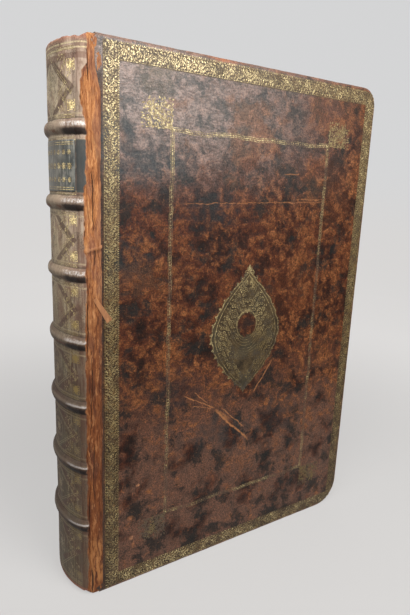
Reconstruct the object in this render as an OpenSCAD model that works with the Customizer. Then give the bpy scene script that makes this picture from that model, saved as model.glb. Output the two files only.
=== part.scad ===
// Large antique book in full leather with raised bands, standing on its tail.
// The frame has its origin under the middle of the closed book: the spine is
// at -X, the fore-edge at +X, the front cover faces -Y and the head is up.

/* [Covers] */
// Height of the covers from tail to head
board_h = 430; // [340:5:560]
// Width of the covers from the joint to the fore-edge
board_w = 279; // [220:1:360]
// Thickness of the closed book over both covers
book_t = 71; // [60:1:100]
// Thickness of the pasteboard in a cover
board_t = 5; // [3:0.5:7]
// Rounding of the worn fore corner at the head
corner_head_r = 16; // [6:1:30]
// Rounding of the worn fore corner at the tail
corner_tail_r = 26; // [6:1:40]

/* [Leather] */
// Thickness of the covering leather
leather_t = 1.2; // [0.8:0.1:1.6]
// Thickness of the pared leather turned in over the board edges
turn_in_t = 0.6; // [0.3:0.1:0.8]
// Width of the turn-ins on the inside of a cover
turn_in_w = 20; // [12:1:30]
// Width of the torn joint strip that lies on the board
joint_strip_w = 5.8; // [3:0.1:6.4]
// How far the torn joint strip ends short of head and tail
joint_trim = 4; // [3:0.5:6]

/* [Text block] */
// How far the covers stand past the leaves
square_w = 6.5; // [6:0.1:9]
// Depth of the hollow in the fore-edge
hollow_depth = 9; // [5:0.5:14]
// Thickness of an endpaper leaf
leaf_t = 0.4; // [0.2:0.1:0.6]
// Bare margin of turned-in leather round a pastedown
paste_margin = 5; // [3:0.5:9]

/* [Spine] */
// How far the rounded spine stands out from the joints
spine_bulge = 16.5; // [15:0.5:24]
// Radius of the shoulders beside the joints
shoulder_r = 10; // [7:0.5:12]
// Thickness of the paper linings on the spine
lining_t = 0.8; // [0.4:0.1:1]
// Diameter of the endbands at head and tail
endband_d = 3; // [2:0.1:3.5]

/* [Raised bands] */
// Number of raised bands
band_count = 7; // [5:1:9]
// Diameter of one cord of a double sewing cord
cord_d = 3.6; // [3:0.1:4.6]
// Height of the tail panel, up to the middle of the first band
tail_panel = 65; // [50:1:75]
// Height of the head panel, down from the middle of the last band
head_panel = 60; // [50:1:75]
// Length of a laced cord slip on the outside of a board
slip_l = 18; // [12:1:26]
// Length of the slip end pasted down on the inside of a board
slip_end_l = 11; // [6:1:16]
// Thickness of a frayed and flattened slip
slip_t = 1; // [0.5:0.1:1.4]
// Width of the hole that a slip passes through
slip_hole_w = 3; // [2:0.5:4]

/* [Title label] */
// Width of the label round the spine
label_w = 60; // [30:1:61]
// Gap between the label and the bands above and below it
label_margin = 3; // [2:0.5:6]
// Thickness of the label leather
label_t = 0.3; // [0.2:0.1:0.6]

/* [Gilt tooling] */
// Depth of the tooled impressions in the leather
tool_depth = 0.35; // [0.25:0.05:0.5]
// Thickness of the gilt ground in an impression
film_t = 0.15; // [0.1:0.05:0.2]
// Width of the gilt roll round a cover
border_w = 12; // [8:0.5:16]
// Distance of the gilt roll from head, tail and fore-edge
border_inset = 1.5; // [1:0.5:5]
// Distance of the gilt roll from the joint
border_joint = 8.6; // [7:0.2:14]
// Distance of the inner frame from the joint
panel_joint = 64; // [50:1:75]
// Distance of the inner frame from the fore-edge
panel_fore = 55; // [45:1:65]
// Distance of the inner frame from head and tail
panel_end = 54; // [45:1:70]
// Width of the inner frame
frame_w = 3.6; // [2.4:0.2:6]
// Height of the pointed oval centrepiece without its finials
centre_h = 116; // [90:1:130]
// Width of the centrepiece over its lobes
centre_w = 74; // [56:1:84]
// How far the centrepiece sits below the middle of the cover
centre_drop = 5; // [0:1:10]
// Diameter of a fleuron lobe at the corners of the inner frame
fleuron_d = 9; // [6:0.5:11]
// Width of a fillet line on the spine
fillet_w = 0.8; // [0.5:0.1:1.2]
// Diameter of a rosette in the corners of a spine panel
rosette_d = 6; // [4:0.5:8]

/* [Clearances] */
// Gap between a board and the shoulder of the text block
joint_gap = 0.5; // [0.4:0.1:1]
// Gap between a closed cover and the leaves
cover_gap = 0.4; // [0.3:0.1:0.8]
// Gap between cords or endbands and the leather moulded over them
fit_gap = 0.15; // [0.1:0.05:0.2]
// Paste between the spine leather and what is laid on it
paste_gap = 0.1; // [0.05:0.05:0.15]

/* [Hidden] */
$fn = 64;

// Colours as on the worn book
calf = [0.38, 0.25, 0.19];
spine_calf = [0.42, 0.38, 0.33];
raw_calf = [0.60, 0.31, 0.16];
label_calf = [0.13, 0.14, 0.14];
gilt = [0.68, 0.60, 0.38];
page = [0.80, 0.73, 0.58];
marbled = [0.47, 0.33, 0.28];
pasteboard = [0.62, 0.54, 0.42];
hemp = [0.66, 0.56, 0.40];
silk = [0.62, 0.48, 0.32];

// Spine section: one wide arc between two shoulder arcs that run into the covers
band_rise = cord_d - lining_t;
total_w = board_w + spine_bulge + band_rise;
joint_x = total_w / 2 - board_w;
shoulder_y = book_t / 2 - shoulder_r;
crown = spine_bulge - shoulder_r;
spine_cx = joint_x + (shoulder_y * shoulder_y - crown * crown) / (2 * crown);
spine_r = spine_cx - joint_x + spine_bulge;
sweep = atan2(shoulder_y, spine_cx - joint_x);
core_r = spine_r - leather_t - lining_t;

// Circle that the bands reach: over their full rise at the crown, level at the joints
band_top = spine_r + band_rise;
level_x = (spine_r + fit_gap) * cos(sweep);
level_y = (spine_r + fit_gap) * sin(sweep);
fade_shift = (band_top * band_top - level_x * level_x - level_y * level_y) / (2 * (band_top - level_x));
fade_r = band_top - fade_shift;

// Heights
text_z = square_w;
text_top = board_h - square_w;
band_pitch = (board_h - tail_panel - head_panel) / (band_count - 1);
cord_r = core_r + cord_d / 2;
cord_half = cord_d / 2 + fit_gap;
band_half = cord_d + leather_t + fit_gap;

// Thicknesses from the outside of a cover inwards
inner_face = leather_t + board_t + turn_in_t;
block_y = book_t / 2 - inner_face - leaf_t - cover_gap;
fore_x = joint_x + board_w - square_w;

function band_z(i) = tail_panel + (i - 1) * band_pitch;
function arc_angle(length, radius) = length / radius * 180 / PI;

// A flat outline on the front cover made a layer, given its depth and thickness
module layer(depth, thickness) {
    translate([joint_x, depth + thickness - book_t / 2, 0])
        rotate([90, 0, 0])
            linear_extrude(thickness) children();
}

// A section drawn as radius and height, swept round the spine
module round_spine(half_angle) {
    translate([spine_cx, 0, 0])
        rotate([0, 0, 180 - half_angle])
            rotate_extrude(angle = 2 * half_angle) children();
}

module to_back() {
    mirror([0, 1, 0]) children();
}

module corner_waste(radius) {
    difference() {
        square(2 * radius);
        circle(radius);
    }
}

// Outline of a cover, inset on three sides and starting at a distance from the joint
module cover_outline(inset, start) {
    difference() {
        translate([start, inset]) square([board_w - inset - start, board_h - 2 * inset]);
        translate([board_w - corner_head_r, board_h - corner_head_r])
            corner_waste(corner_head_r - inset);
        translate([board_w - corner_tail_r, corner_tail_r])
            mirror([0, 1]) corner_waste(corner_tail_r - inset);
    }
}

// Area inside the spine section, set in by a depth, up to the joints
module spine_area(depth) {
    reach = 2 * spine_r;
    intersection() {
        translate([joint_x - reach, -reach]) square([reach, 2 * reach]);
        union() {
            intersection() {
                translate([spine_cx, 0]) circle(spine_r - depth);
                polygon([
                    [spine_cx, 0],
                    [spine_cx - reach * cos(sweep), reach * sin(sweep)],
                    [spine_cx - reach * cos(sweep), -reach * sin(sweep)]
                ]);
            }
            for (side = [-1, 1]) translate([joint_x, side * shoulder_y]) circle(shoulder_r - depth);
        }
    }
}

// Gathered sections in one block: rounded spine with shoulders, hollow fore-edge
module text_block() {
    hollow_r = (block_y * block_y + hollow_depth * hollow_depth) / (2 * hollow_depth);
    color(page)
        translate([0, 0, text_z])
            linear_extrude(text_top - text_z)
                difference() {
                    union() {
                        spine_area(leather_t + lining_t);
                        translate([joint_x, -block_y]) square([fore_x - joint_x, 2 * block_y]);
                    }
                    translate([fore_x - hollow_depth + hollow_r, 0]) circle(hollow_r);
                }
}

module cord_pair() {
    for (side = [-1, 1]) translate([cord_r, side * cord_d / 2]) circle(cord_d / 2);
    translate([cord_r - cord_d / 2, -cord_d / 2]) square([cord_d * 0.8, cord_d]);
}

// Room in which the bands fade towards the joints, set in by a depth
module band_room(depth) {
    translate([spine_cx - fade_shift, 0, 0]) cylinder(h = board_h, r = fade_r - depth);
}

// Double cord that the sections are sewn on, frayed thin towards the joints
module sewing_cord(i) {
    color(hemp)
        intersection() {
            round_spine(sweep) translate([0, band_z(i)]) cord_pair();
            band_room(leather_t + fit_gap);
        }
}

// Paper linings, one in each panel between the cords
module spine_linings() {
    room = cord_d + 2 * fit_gap;
    color(page)
        for (i = [0:band_count]) {
            low = i == 0 ? text_z : band_z(i) + room;
            high = i == band_count ? text_top : band_z(i + 1) - room;
            round_spine(sweep) translate([core_r, low]) square([lining_t, high - low]);
        }
}

// Silk endband, drawn for the head
module endband() {
    color(silk)
        round_spine(sweep)
            translate([spine_r - leather_t - fit_gap - endband_d / 2, text_top + endband_d / 2])
                circle(endband_d / 2);
}

module to_tail() {
    translate([0, 0, board_h]) mirror([0, 0, 1]) children();
}

// Leather cap turned over the endband, as a section at the head
module cap_curl() {
    bore = endband_d / 2 + fit_gap;
    translate([spine_r - leather_t - bore, text_top + endband_d / 2])
        difference() {
            circle(bore + leather_t);
            circle(bore);
            translate([-2 * bore - leather_t, -2 * bore - leather_t])
                square([4 * bore + 2 * leather_t, 2 * bore + leather_t]);
        }
}

// Leather over one band, moulded to the double cord
module band_cover(grow) {
    for (side = [-1, 1]) translate([cord_r, side * cord_d / 2]) circle(cord_half + grow);
    translate([cord_r - cord_d / 2, -cord_d / 2]) square([cord_d + fit_gap + grow, cord_d]);
}

// Spine leather: skin and caps swept round the spine, bands moulded over the cords
module spine_leather() {
    cap_mid = text_top + endband_d / 2;
    color(spine_calf)
        difference() {
            union() {
                round_spine(sweep) {
                    translate([spine_r - leather_t, board_h - cap_mid])
                        square([leather_t, 2 * cap_mid - board_h]);
                    cap_curl();
                    translate([0, board_h]) mirror([0, 1]) cap_curl();
                }
                intersection() {
                    round_spine(sweep)
                        intersection() {
                            for (i = [1:band_count]) translate([0, band_z(i)]) band_cover(leather_t);
                            translate([spine_r - leather_t, 0]) square([2 * cord_d, board_h]);
                        }
                    band_room(0);
                }
            }
            intersection() {
                round_spine(sweep + 1)
                    for (i = [1:band_count]) translate([0, band_z(i)]) band_cover(0);
                band_room(leather_t);
            }
        }
}

// Bare label of darker leather in the second panel from the head
module title_label() {
    low = band_z(band_count - 1) + band_half + label_margin;
    high = band_z(band_count) - band_half - label_margin;
    color(label_calf)
        round_spine(arc_angle(label_w / 2, spine_r))
            translate([spine_r + paste_gap, low]) square([label_t, high - low]);
}

// Gilt lines beside the bands and rosettes in the corners of the plain panels
module spine_tooling() {
    line_gap = 2;
    rosette_z = band_half + line_gap + fillet_w + rosette_d * 0.8;
    rosette_angle = sweep - arc_angle(rosette_d, spine_r);
    color(gilt) {
        for (i = [1:band_count], side = [-1, 1])
            round_spine(sweep)
                translate([spine_r + paste_gap, band_z(i) + side * (band_half + line_gap) - fillet_w / 2])
                    square([film_t, fillet_w]);
        for (i = [0:band_count]) if (i != band_count - 1) {
            low = i == 0 ? 0 : band_z(i);
            high = i == band_count ? board_h : band_z(i + 1);
            for (z = [low + rosette_z, high - rosette_z], side = [-1, 1])
                intersection() {
                    round_spine(sweep)
                        translate([spine_r + paste_gap, z - rosette_d])
                            square([film_t, 2 * rosette_d]);
                    translate([spine_cx, 0, z])
                        rotate([0, -90, side * rosette_angle])
                            cylinder(h = spine_r + 1, d = rosette_d);
                }
        }
    }
}

// Endpaper leaf against the leaves, drawn for the front
module flyleaf() {
    color(marbled)
        translate([joint_x, -block_y - leaf_t, text_z])
            cube([fore_x - joint_x, leaf_t, text_top - text_z]);
}

// Flexing strip of torn leather over the front joint, from the spine to the board
module joint_leather() {
    strip_h = board_h - 2 * joint_trim;
    lap = fit_gap / 2;
    color(raw_calf) {
        translate([joint_x, -shoulder_y, joint_trim])
            rotate([0, 0, 180 + sweep])
                rotate_extrude(angle = 90 - sweep)
                    translate([shoulder_r - leather_t, 0]) square([leather_t, strip_h]);
        translate([joint_x - lap, -book_t / 2, joint_trim])
            cube([joint_strip_w + lap, leather_t, strip_h]);
    }
}

// Slip of one sewing cord: along the outside of the board, through it and down inside
module slip(i) {
    slip_w = 2 * cord_d;
    translate([0, 0, band_z(i) - slip_w / 2]) {
        translate([joint_x + joint_gap, leather_t - book_t / 2, 0])
            cube([slip_l - joint_gap, slip_t, slip_w]);
        translate([joint_x + slip_l - slip_hole_w, leather_t - book_t / 2, 0])
            cube([slip_hole_w, board_t, slip_w]);
        translate([joint_x + slip_l - slip_hole_w, leather_t + board_t - slip_t - book_t / 2, 0])
            cube([slip_end_l + slip_hole_w, slip_t, slip_w]);
    }
}

module cord_slips() {
    color(hemp) for (i = [1:band_count]) slip(i);
}

// Pasteboard with channels for the laced slips
module board() {
    color(pasteboard)
        difference() {
            layer(leather_t, board_t) cover_outline(leather_t, joint_gap);
            for (i = [1:band_count]) slip(i);
        }
}

// Places of the tooling on a cover, as outlines
module border_area() {
    inner = border_inset + border_w;
    difference() {
        cover_outline(border_inset, border_joint);
        translate([border_joint + border_w, inner])
            square([board_w - border_joint - border_w - inner, board_h - 2 * inner]);
    }
}

module frame_area() {
    panel_w = board_w - panel_joint - panel_fore;
    panel_h = board_h - 2 * panel_end;
    translate([panel_joint, panel_end])
        difference() {
            square([panel_w, panel_h]);
            translate([frame_w, frame_w]) square([panel_w - 2 * frame_w, panel_h - 2 * frame_w]);
        }
}

// Five round lobes on a stem that points out from a corner of the inner frame
module fleuron() {
    step = fleuron_d * 0.72;
    translate([step, step]) circle(d = fleuron_d);
    translate([step * 2.2, step * 0.9]) circle(d = fleuron_d * 0.8);
    translate([step * 0.9, step * 2.2]) circle(d = fleuron_d * 0.8);
    translate([step * 1.8, step * 1.8]) circle(d = fleuron_d * 0.7);
    rotate(45) translate([fleuron_d * 0.15, -fleuron_d * 0.1]) square([step, fleuron_d * 0.2]);
}

module fleuron_area() {
    for (right = [0, 1], top = [0, 1])
        translate([right ? board_w - panel_fore : panel_joint, top ? board_h - panel_end : panel_end])
            mirror([1 - right, 0]) mirror([0, 1 - top]) fleuron();
}

// Pointed oval with lobes along its edge, finials and a ring left bare round its boss
module centrepiece_area() {
    lobe_d = centre_w * 0.2;
    half_w = (centre_w - lobe_d) / 2;
    half_h = centre_h / 2;
    side_r = (half_h * half_h + half_w * half_w) / (2 * half_w);
    translate([(board_w - panel_fore + panel_joint) / 2, board_h / 2 - centre_drop]) {
        difference() {
            union() {
                intersection() {
                    translate([side_r - half_w, 0]) circle(side_r);
                    translate([half_w - side_r, 0]) circle(side_r);
                }
                for (side = [-1, 1], share = [-3:3]) {
                    turn = share / 3 * asin(half_h / side_r) * 0.74;
                    translate([side * (side_r * cos(turn) - side_r + half_w), side_r * sin(turn)])
                        circle(d = lobe_d * (1 - abs(share) * 0.1));
                }
                for (end = [-1, 1]) translate([0, end * half_h]) circle(d = lobe_d * 0.75);
            }
            circle(d = centre_w * 0.42);
        }
        circle(d = centre_w * 0.26);
    }
}

// Gilt ground in an impression of the leather
module gilding() {
    color(gilt) layer(tool_depth - film_t, film_t) children();
}

// Covering leather of one board with its turn-ins and tooled impressions
module cover_leather() {
    color(calf)
        difference() {
            layer(0, inner_face) cover_outline(0, joint_gap);
            layer(leather_t, board_t) cover_outline(leather_t, 0);
            layer(leather_t + board_t, turn_in_t + 1)
                translate([-1, turn_in_w]) square([board_w - turn_in_w + 1, board_h - 2 * turn_in_w]);
            layer(-1, leather_t + 1)
                translate([-1, joint_trim]) square([joint_strip_w + 1, board_h - 2 * joint_trim]);
            layer(-1, tool_depth + 1) {
                border_area();
                frame_area();
                fleuron_area();
                centrepiece_area();
            }
        }
}

// Pastedown over the turn-ins, with the infill that levels them
module pastedown() {
    color(marbled) {
        layer(leather_t + board_t, turn_in_t)
            translate([joint_gap, turn_in_w])
                square([board_w - turn_in_w - joint_gap, board_h - 2 * turn_in_w]);
        layer(inner_face, leaf_t)
            translate([joint_gap, paste_margin])
                square([board_w - paste_margin - joint_gap, board_h - 2 * paste_margin]);
    }
}

text_block();
for (i = [1:band_count])
    sewing_cord(i);
spine_linings();
endband();  // head_endband
to_tail() endband();  // tail_endband
spine_leather();
title_label();
spine_tooling();
flyleaf();  // front_flyleaf
to_back() flyleaf();  // back_flyleaf
joint_leather();  // front_joint_leather
to_back() joint_leather();  // back_joint_leather
board();  // front_board
to_back() board();  // back_board
cord_slips();  // front_cord_slips
to_back() cord_slips();  // back_cord_slips
cover_leather();  // front_cover_leather
to_back() cover_leather();  // back_cover_leather
pastedown();  // front_pastedown
to_back() pastedown();  // back_pastedown
gilding() border_area();  // front_border_roll
to_back() gilding() border_area();  // back_border_roll
gilding() frame_area();  // front_inner_frame
to_back() gilding() frame_area();  // back_inner_frame
gilding() fleuron_area();  // front_corner_fleurons
to_back() gilding() fleuron_area();  // back_corner_fleurons
gilding() centrepiece_area();  // front_centrepiece
to_back() gilding() centrepiece_area();  // back_centrepiece
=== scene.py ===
"""A large old folio in mottled leather, standing on its tail: seven raised bands on a worn
spine, a torn front joint, a gilt roll round each cover, a narrow frame and a pointed centrepiece.
"""

import math

import bmesh
import bpy
from mathutils import Matrix, Vector, noise


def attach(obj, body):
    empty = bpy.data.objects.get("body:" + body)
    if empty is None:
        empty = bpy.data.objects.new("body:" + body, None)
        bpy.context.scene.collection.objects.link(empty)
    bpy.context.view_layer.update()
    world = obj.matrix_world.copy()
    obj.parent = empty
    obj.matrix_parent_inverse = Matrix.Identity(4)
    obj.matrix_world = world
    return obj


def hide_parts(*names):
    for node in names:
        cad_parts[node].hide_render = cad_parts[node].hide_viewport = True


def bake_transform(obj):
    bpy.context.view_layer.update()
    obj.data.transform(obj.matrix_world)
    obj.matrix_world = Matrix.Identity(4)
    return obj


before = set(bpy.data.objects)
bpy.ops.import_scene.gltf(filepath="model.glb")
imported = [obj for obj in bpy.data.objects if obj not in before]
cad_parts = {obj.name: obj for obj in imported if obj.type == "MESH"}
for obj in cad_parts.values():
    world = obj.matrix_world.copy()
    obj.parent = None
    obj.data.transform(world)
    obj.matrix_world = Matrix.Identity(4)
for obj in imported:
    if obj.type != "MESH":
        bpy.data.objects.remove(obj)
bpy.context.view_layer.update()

# The view: standing a step back from the joint side of the book, a little above
# its middle, looking along the front cover with the spine on the left.
mm = 0.001
lens = bpy.data.cameras.new("camera")
lens.lens = 29.866
lens.sensor_width = 36
camera = bpy.data.objects.new("camera", lens)
sideways = Vector((0.84339, -0.53583, 0.03976))
upwards = Vector((0.08737, 0.20978, 0.97384))
backwards = Vector((-0.53016, -0.81785, 0.22374))
standpoint = Vector((-257.48, -382.17, 331.97)) * mm
turned = Matrix((sideways, upwards, backwards)).transposed().to_4x4()
camera.matrix_world = Matrix.Translation(standpoint) @ turned
bpy.context.scene.collection.objects.link(camera)
bpy.context.scene.camera = camera

# Text block: folded sheets of rag paper gathered, beaten, rounded and backed. The
# edges are cut with a plough, so every leaf shows as a fine line between its neighbours.
book_t = 71.0
board_w = 279.0
board_h = 430.0
total_w = 298.3
joint_x = total_w / 2 - board_w


class Wire:
    """A socket of a finish. A sum on wires adds its maths nodes."""

    def __init__(self, finish, socket):
        self.finish = finish
        self.socket = socket

    def sum(self, operation, *values):
        return self.finish.add("Math", {"operation": operation}, dict(enumerate(values)))

    def __add__(self, other):
        return self.sum("ADD", self, other)

    def __sub__(self, other):
        return self.sum("SUBTRACT", self, other)

    def __rsub__(self, other):
        return self.sum("SUBTRACT", other, self)

    def __mul__(self, other):
        return self.sum("MULTIPLY", self, other)

    def __truediv__(self, other):
        return self.sum("DIVIDE", self, other)

    def __pow__(self, other):
        return self.sum("POWER", self, other)

    def __mod__(self, other):
        return self.sum("MODULO", self, other)

    def __abs__(self):
        return self.sum("ABSOLUTE", self)

    __radd__ = __add__
    __rmul__ = __mul__

    def high(self, other):
        return self.sum("MAXIMUM", self, other)

    def low(self, other):
        return self.sum("MINIMUM", self, other)

    def sine(self):
        return self.sum("SINE", self)

    def arctangent(self):
        return self.sum("ARCTANGENT", self)

    def ease(self, start, end, first=0.0, last=1.0):
        """First before start, last after end, and a smooth step between them."""
        return self.finish.add(
            "MapRange",
            {"interpolation_type": "SMOOTHSTEP"},
            {0: self, 1: start, 2: end, 3: first, 4: last},
        )


class Finish:
    """A procedural finish. Its patterns are sized in millimetres of the object."""

    def __init__(self, name):
        self.material = bpy.data.materials.new(name)
        self.material.use_nodes = True
        self.nodes = self.material.node_tree.nodes
        self.links = self.material.node_tree.links
        self.shader = self.nodes["Principled BSDF"]
        self.spot = self.vector("SCALE", self.add("TexCoord", out="Object"), 1000)

    def add(self, kind, settings=None, feeds=None, out=0):
        """Adds a node: its settings first, then the values or wires of its sockets."""
        node = self.nodes.new("ShaderNode" + kind)
        for name, value in (settings or {}).items():
            if name != "stops":
                setattr(node, name, value)
                continue
            ramp = node.color_ramp.elements
            for index, (position, colour) in enumerate(value):
                if index >= len(ramp):
                    ramp.new(position)
                ramp[index].position = position
                ramp[index].color = (*colour, 1)
        for name, value in (feeds or {}).items():
            self.feed(node.inputs[name], value)
        return Wire(self, node.outputs[out])

    def feed(self, socket, value):
        if isinstance(value, Wire):
            self.links.new(value.socket, socket)
        elif isinstance(value, tuple) and socket.type == "RGBA":
            socket.default_value = (*value, 1)
        else:
            socket.default_value = value

    def vector(self, operation, first, second):
        second_socket = 3 if operation == "SCALE" else 1
        return self.add("VectorMath", {"operation": operation}, {0: first, second_socket: second})

    def axes(self):
        return [self.add("SeparateXYZ", feeds={0: self.spot}, out=axis) for axis in range(3)]

    def mark(self, title):
        """A number that the piece's mesh keeps at each of its points."""
        return self.add("Attribute", {"attribute_name": title}, out="Fac")

    def noise(self, scale, detail=3.0, rough=0.55, at=None):
        feeds = {"Vector": at or self.spot, "Scale": scale, "Detail": detail, "Roughness": rough}
        return self.add("TexNoise", feeds=feeds)

    def cells(self, scale, feature="F1", at=None, out=0):
        return self.add(
            "TexVoronoi", {"feature": feature}, {"Vector": at or self.spot, "Scale": scale}, out
        )

    def stretch(self, x, y, z, at=None):
        """The place drawn out along some axes, for grain that runs one way."""
        return self.vector("MULTIPLY", at or self.spot, (x, y, z))

    def shake(self, at, scale, reach, source=None):
        """A place pushed about by slow noise, so that a pattern on it drifts."""
        feeds = {"Vector": source or at, "Scale": scale, "Detail": 2.0}
        push = self.add("TexNoise", feeds=feeds, out=1)
        return self.vector("ADD", at, self.vector("SCALE", push, reach))

    def mix(self, share, first, second, blend="MIX"):
        settings = {"data_type": "RGBA", "blend_type": blend}
        return self.add("Mix", settings, {0: share, 6: first, 7: second}, 2)

    def ramp(self, share, *stops):
        return self.add("ValToRGB", {"stops": stops}, {0: share})

    def bump(self, height, depth, below=None):
        """Relief of a height of 0 to 1, its depth in millimetres."""
        feeds = {"Strength": 1.0, "Distance": depth * mm, "Height": height}
        if below:
            feeds["Normal"] = below
        return self.add("Bump", feeds=feeds)

    def coat(self, **sockets):
        """Sets the sockets of the surface itself."""
        for name, value in sockets.items():
            title = name.replace("_", " ").title().replace("Ior", "IOR")
            self.feed(self.shader.inputs[title], value)


leaves = Finish("cut_leaves")
leaf_x, leaf_y, leaf_z = leaves.axes()
flare = leaf_x.ease(joint_x - 8, joint_x + 8, 0.82, 1.0)
sheet = leaf_y * flare + leaves.noise(0.05, 2) * 0.8
stack = leaves.add("CombineXYZ", feeds={0: leaf_x * 0.004, 1: sheet, 2: leaf_z * 0.004})
gather = leaves.noise(0.35, 2, 0.5, stack)
line = leaves.noise(2.4, 3, 0.7, stack)
soiled = leaves.noise(0.03, 4, 0.6)
edge_tone = leaves.ramp(
    line * 0.65 + gather * 0.35,
    (0.30, (0.17, 0.11, 0.06)),
    (0.46, (0.42, 0.32, 0.19)),
    (0.62, (0.62, 0.51, 0.34)),
)
foxed = leaves.noise(0.16, 4, 0.65).ease(0.60, 0.72)
edge_tone = leaves.mix(foxed * 0.5, edge_tone, (0.26, 0.13, 0.05))
edge_tone = leaves.mix(soiled.ease(0.42, 0.68) * 0.55, edge_tone, (0.20, 0.15, 0.10))
leaves.coat(
    base_color=edge_tone,
    roughness=0.85,
    normal=leaves.bump(line * 0.6 + gather * 0.4, 0.5),
)


def dress(node, finish):
    """Gives a finish to a CAD node that keeps its own shape."""
    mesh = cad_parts[node].data
    mesh.materials.clear()
    mesh.materials.append(finish.material)


dress("text_block", leaves)

# Sewing cords and slips: hemp cord laid up from twisted strands, sewn round with
# thread at every section, then frayed, pasted and laced through the boards.
band_count = 7
hemp = Finish("hemp_cord")
hemp_y, hemp_z = hemp.axes()[1:]
twist = ((hemp_y * 1.3 + hemp_z * 2.2).sine() + 1) * 0.5
hair = hemp.noise(1.6, 4, 0.7, hemp.stretch(1, 0.3, 1))
hemp.coat(
    base_color=hemp.ramp(
        twist * 0.5 + hair * 0.5,
        (0.25, (0.16, 0.11, 0.06)),
        (0.55, (0.42, 0.32, 0.19)),
        (0.8, (0.58, 0.47, 0.31)),
    ),
    roughness=0.9,
    normal=hemp.bump(twist * 0.7 + hair * 0.3, 0.3),
)
for number in range(1, band_count + 1):
    dress(f"sewing_cord_{number}", hemp)
for side in ("front", "back"):
    dress(f"{side}_cord_slips", hemp)

# Spine linings: strips of waste paper pasted on the backs of the sections between
# the cords, browned by the glue that was brushed over them.
lining = Finish("spine_lining_paper")
fibre = lining.noise(0.9, 5, 0.65)
glue = lining.noise(0.12, 4, 0.6)
lining.coat(
    base_color=lining.mix(
        glue.ease(0.4, 0.65),
        lining.ramp(fibre, (0.3, (0.42, 0.33, 0.20)), (0.7, (0.60, 0.50, 0.34))),
        (0.30, 0.19, 0.09),
    ),
    roughness=lining.noise(0.2, 2) * 0.3 + 0.6,
    normal=lining.bump(fibre, 0.12),
)
dress("spine_linings", lining)

# Endbands: two colours of silk wound by turns over a rolled core at head and tail,
# tied down into the sections. One ring of thread stands for each turn.
spine_bulge = 16.5
shoulder_r = 10.0
leather_t = 1.2
band_rise = 2.8
shoulder_y = book_t / 2 - shoulder_r
crown = spine_bulge - shoulder_r
spine_cx = joint_x + (shoulder_y**2 - crown**2) / (2 * crown)
spine_r = spine_cx - joint_x + spine_bulge
sweep = math.atan2(shoulder_y, spine_cx - joint_x)
text_top = board_h - 6.5
endband_d = 3.0
head_core = text_top + 1.5
tail_core = 5.0
thread_r = 0.42


def blank_tree(name, **inputs):
    """A Geometry Nodes tree with named inputs, the sockets of its inputs and its last node."""
    tree = bpy.data.node_groups.new(name, "GeometryNodeTree")
    tree.interface.new_socket("Geometry", in_out="OUTPUT", socket_type="NodeSocketGeometry")
    for title, kind in inputs.items():
        tree.interface.new_socket(title, in_out="INPUT", socket_type="NodeSocket" + kind)
    return tree, tree.nodes.new("NodeGroupInput").outputs, tree.nodes.new("NodeGroupOutput")


def step(tree, kind, feeds, **settings):
    """Adds one node to a Geometry Nodes tree and hands on its outputs."""
    node = tree.nodes.new("GeometryNode" + kind)
    for name, value in settings.items():
        setattr(node, name, value)
    for name, value in feeds.items():
        for item in value if isinstance(value, list) else [value]:
            if hasattr(item, "is_output"):
                tree.links.new(item, node.inputs[name])
            else:
                node.inputs[name].default_value = item
    return node.outputs


def new_piece(name, mesh, material):
    """A piece with its place in its mesh."""
    piece = bpy.data.objects.new(name, mesh)
    bpy.context.scene.collection.objects.link(piece)
    mesh.materials.append(material)
    return piece


def grow(piece, tree, values):
    """Runs a tree on a piece and keeps what it makes as a plain mesh."""
    grown = piece.modifiers.new(tree.name, "NODES")
    grown.node_group = tree
    for socket in tree.interface.items_tree:
        if socket.in_out == "INPUT" and socket.name in values:
            grown[socket.identifier] = values[socket.name]
    bpy.context.view_layer.update()
    made = piece.evaluated_get(bpy.context.evaluated_depsgraph_get())
    mesh = bpy.data.meshes.new_from_object(made)
    piece.modifiers.clear()
    piece.data = mesh


winding, got, given = blank_tree(
    "silk_winding",
    Bend="Float",
    Start="Float",
    Sweep="Float",
    Centre="Vector",
    Core="Float",
    Thread="Float",
    Turns="Int",
    Silk="Material",
)
bend = {"Radius": got["Bend"], "Start Angle": got["Start"], "Sweep Angle": got["Sweep"]}
arc = step(winding, "CurveArc", {"Resolution": 64, **bend}, mode="RADIUS")
spots = step(winding, "CurveToPoints", {"Curve": arc[0], "Count": got["Turns"]}, mode="COUNT")
turn_path = step(winding, "CurvePrimitiveCircle", {"Resolution": 10, "Radius": got["Core"]})
thread_path = step(winding, "CurvePrimitiveCircle", {"Resolution": 5, "Radius": got["Thread"]})
ring = step(winding, "CurveToMesh", {"Curve": turn_path[0], "Profile Curve": thread_path[0]})
wound = step(
    winding,
    "InstanceOnPoints",
    {"Points": spots["Points"], "Instance": ring[0], "Rotation": spots["Rotation"]},
)
moved = step(winding, "Transform", {"Geometry": wound[0], "Translation": got["Centre"]})
whole = step(winding, "RealizeInstances", {0: moved[0]})
coloured = step(winding, "SetMaterial", {"Geometry": whole[0], "Material": got["Silk"]})
winding.links.new(coloured[0], given.inputs[0])

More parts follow.
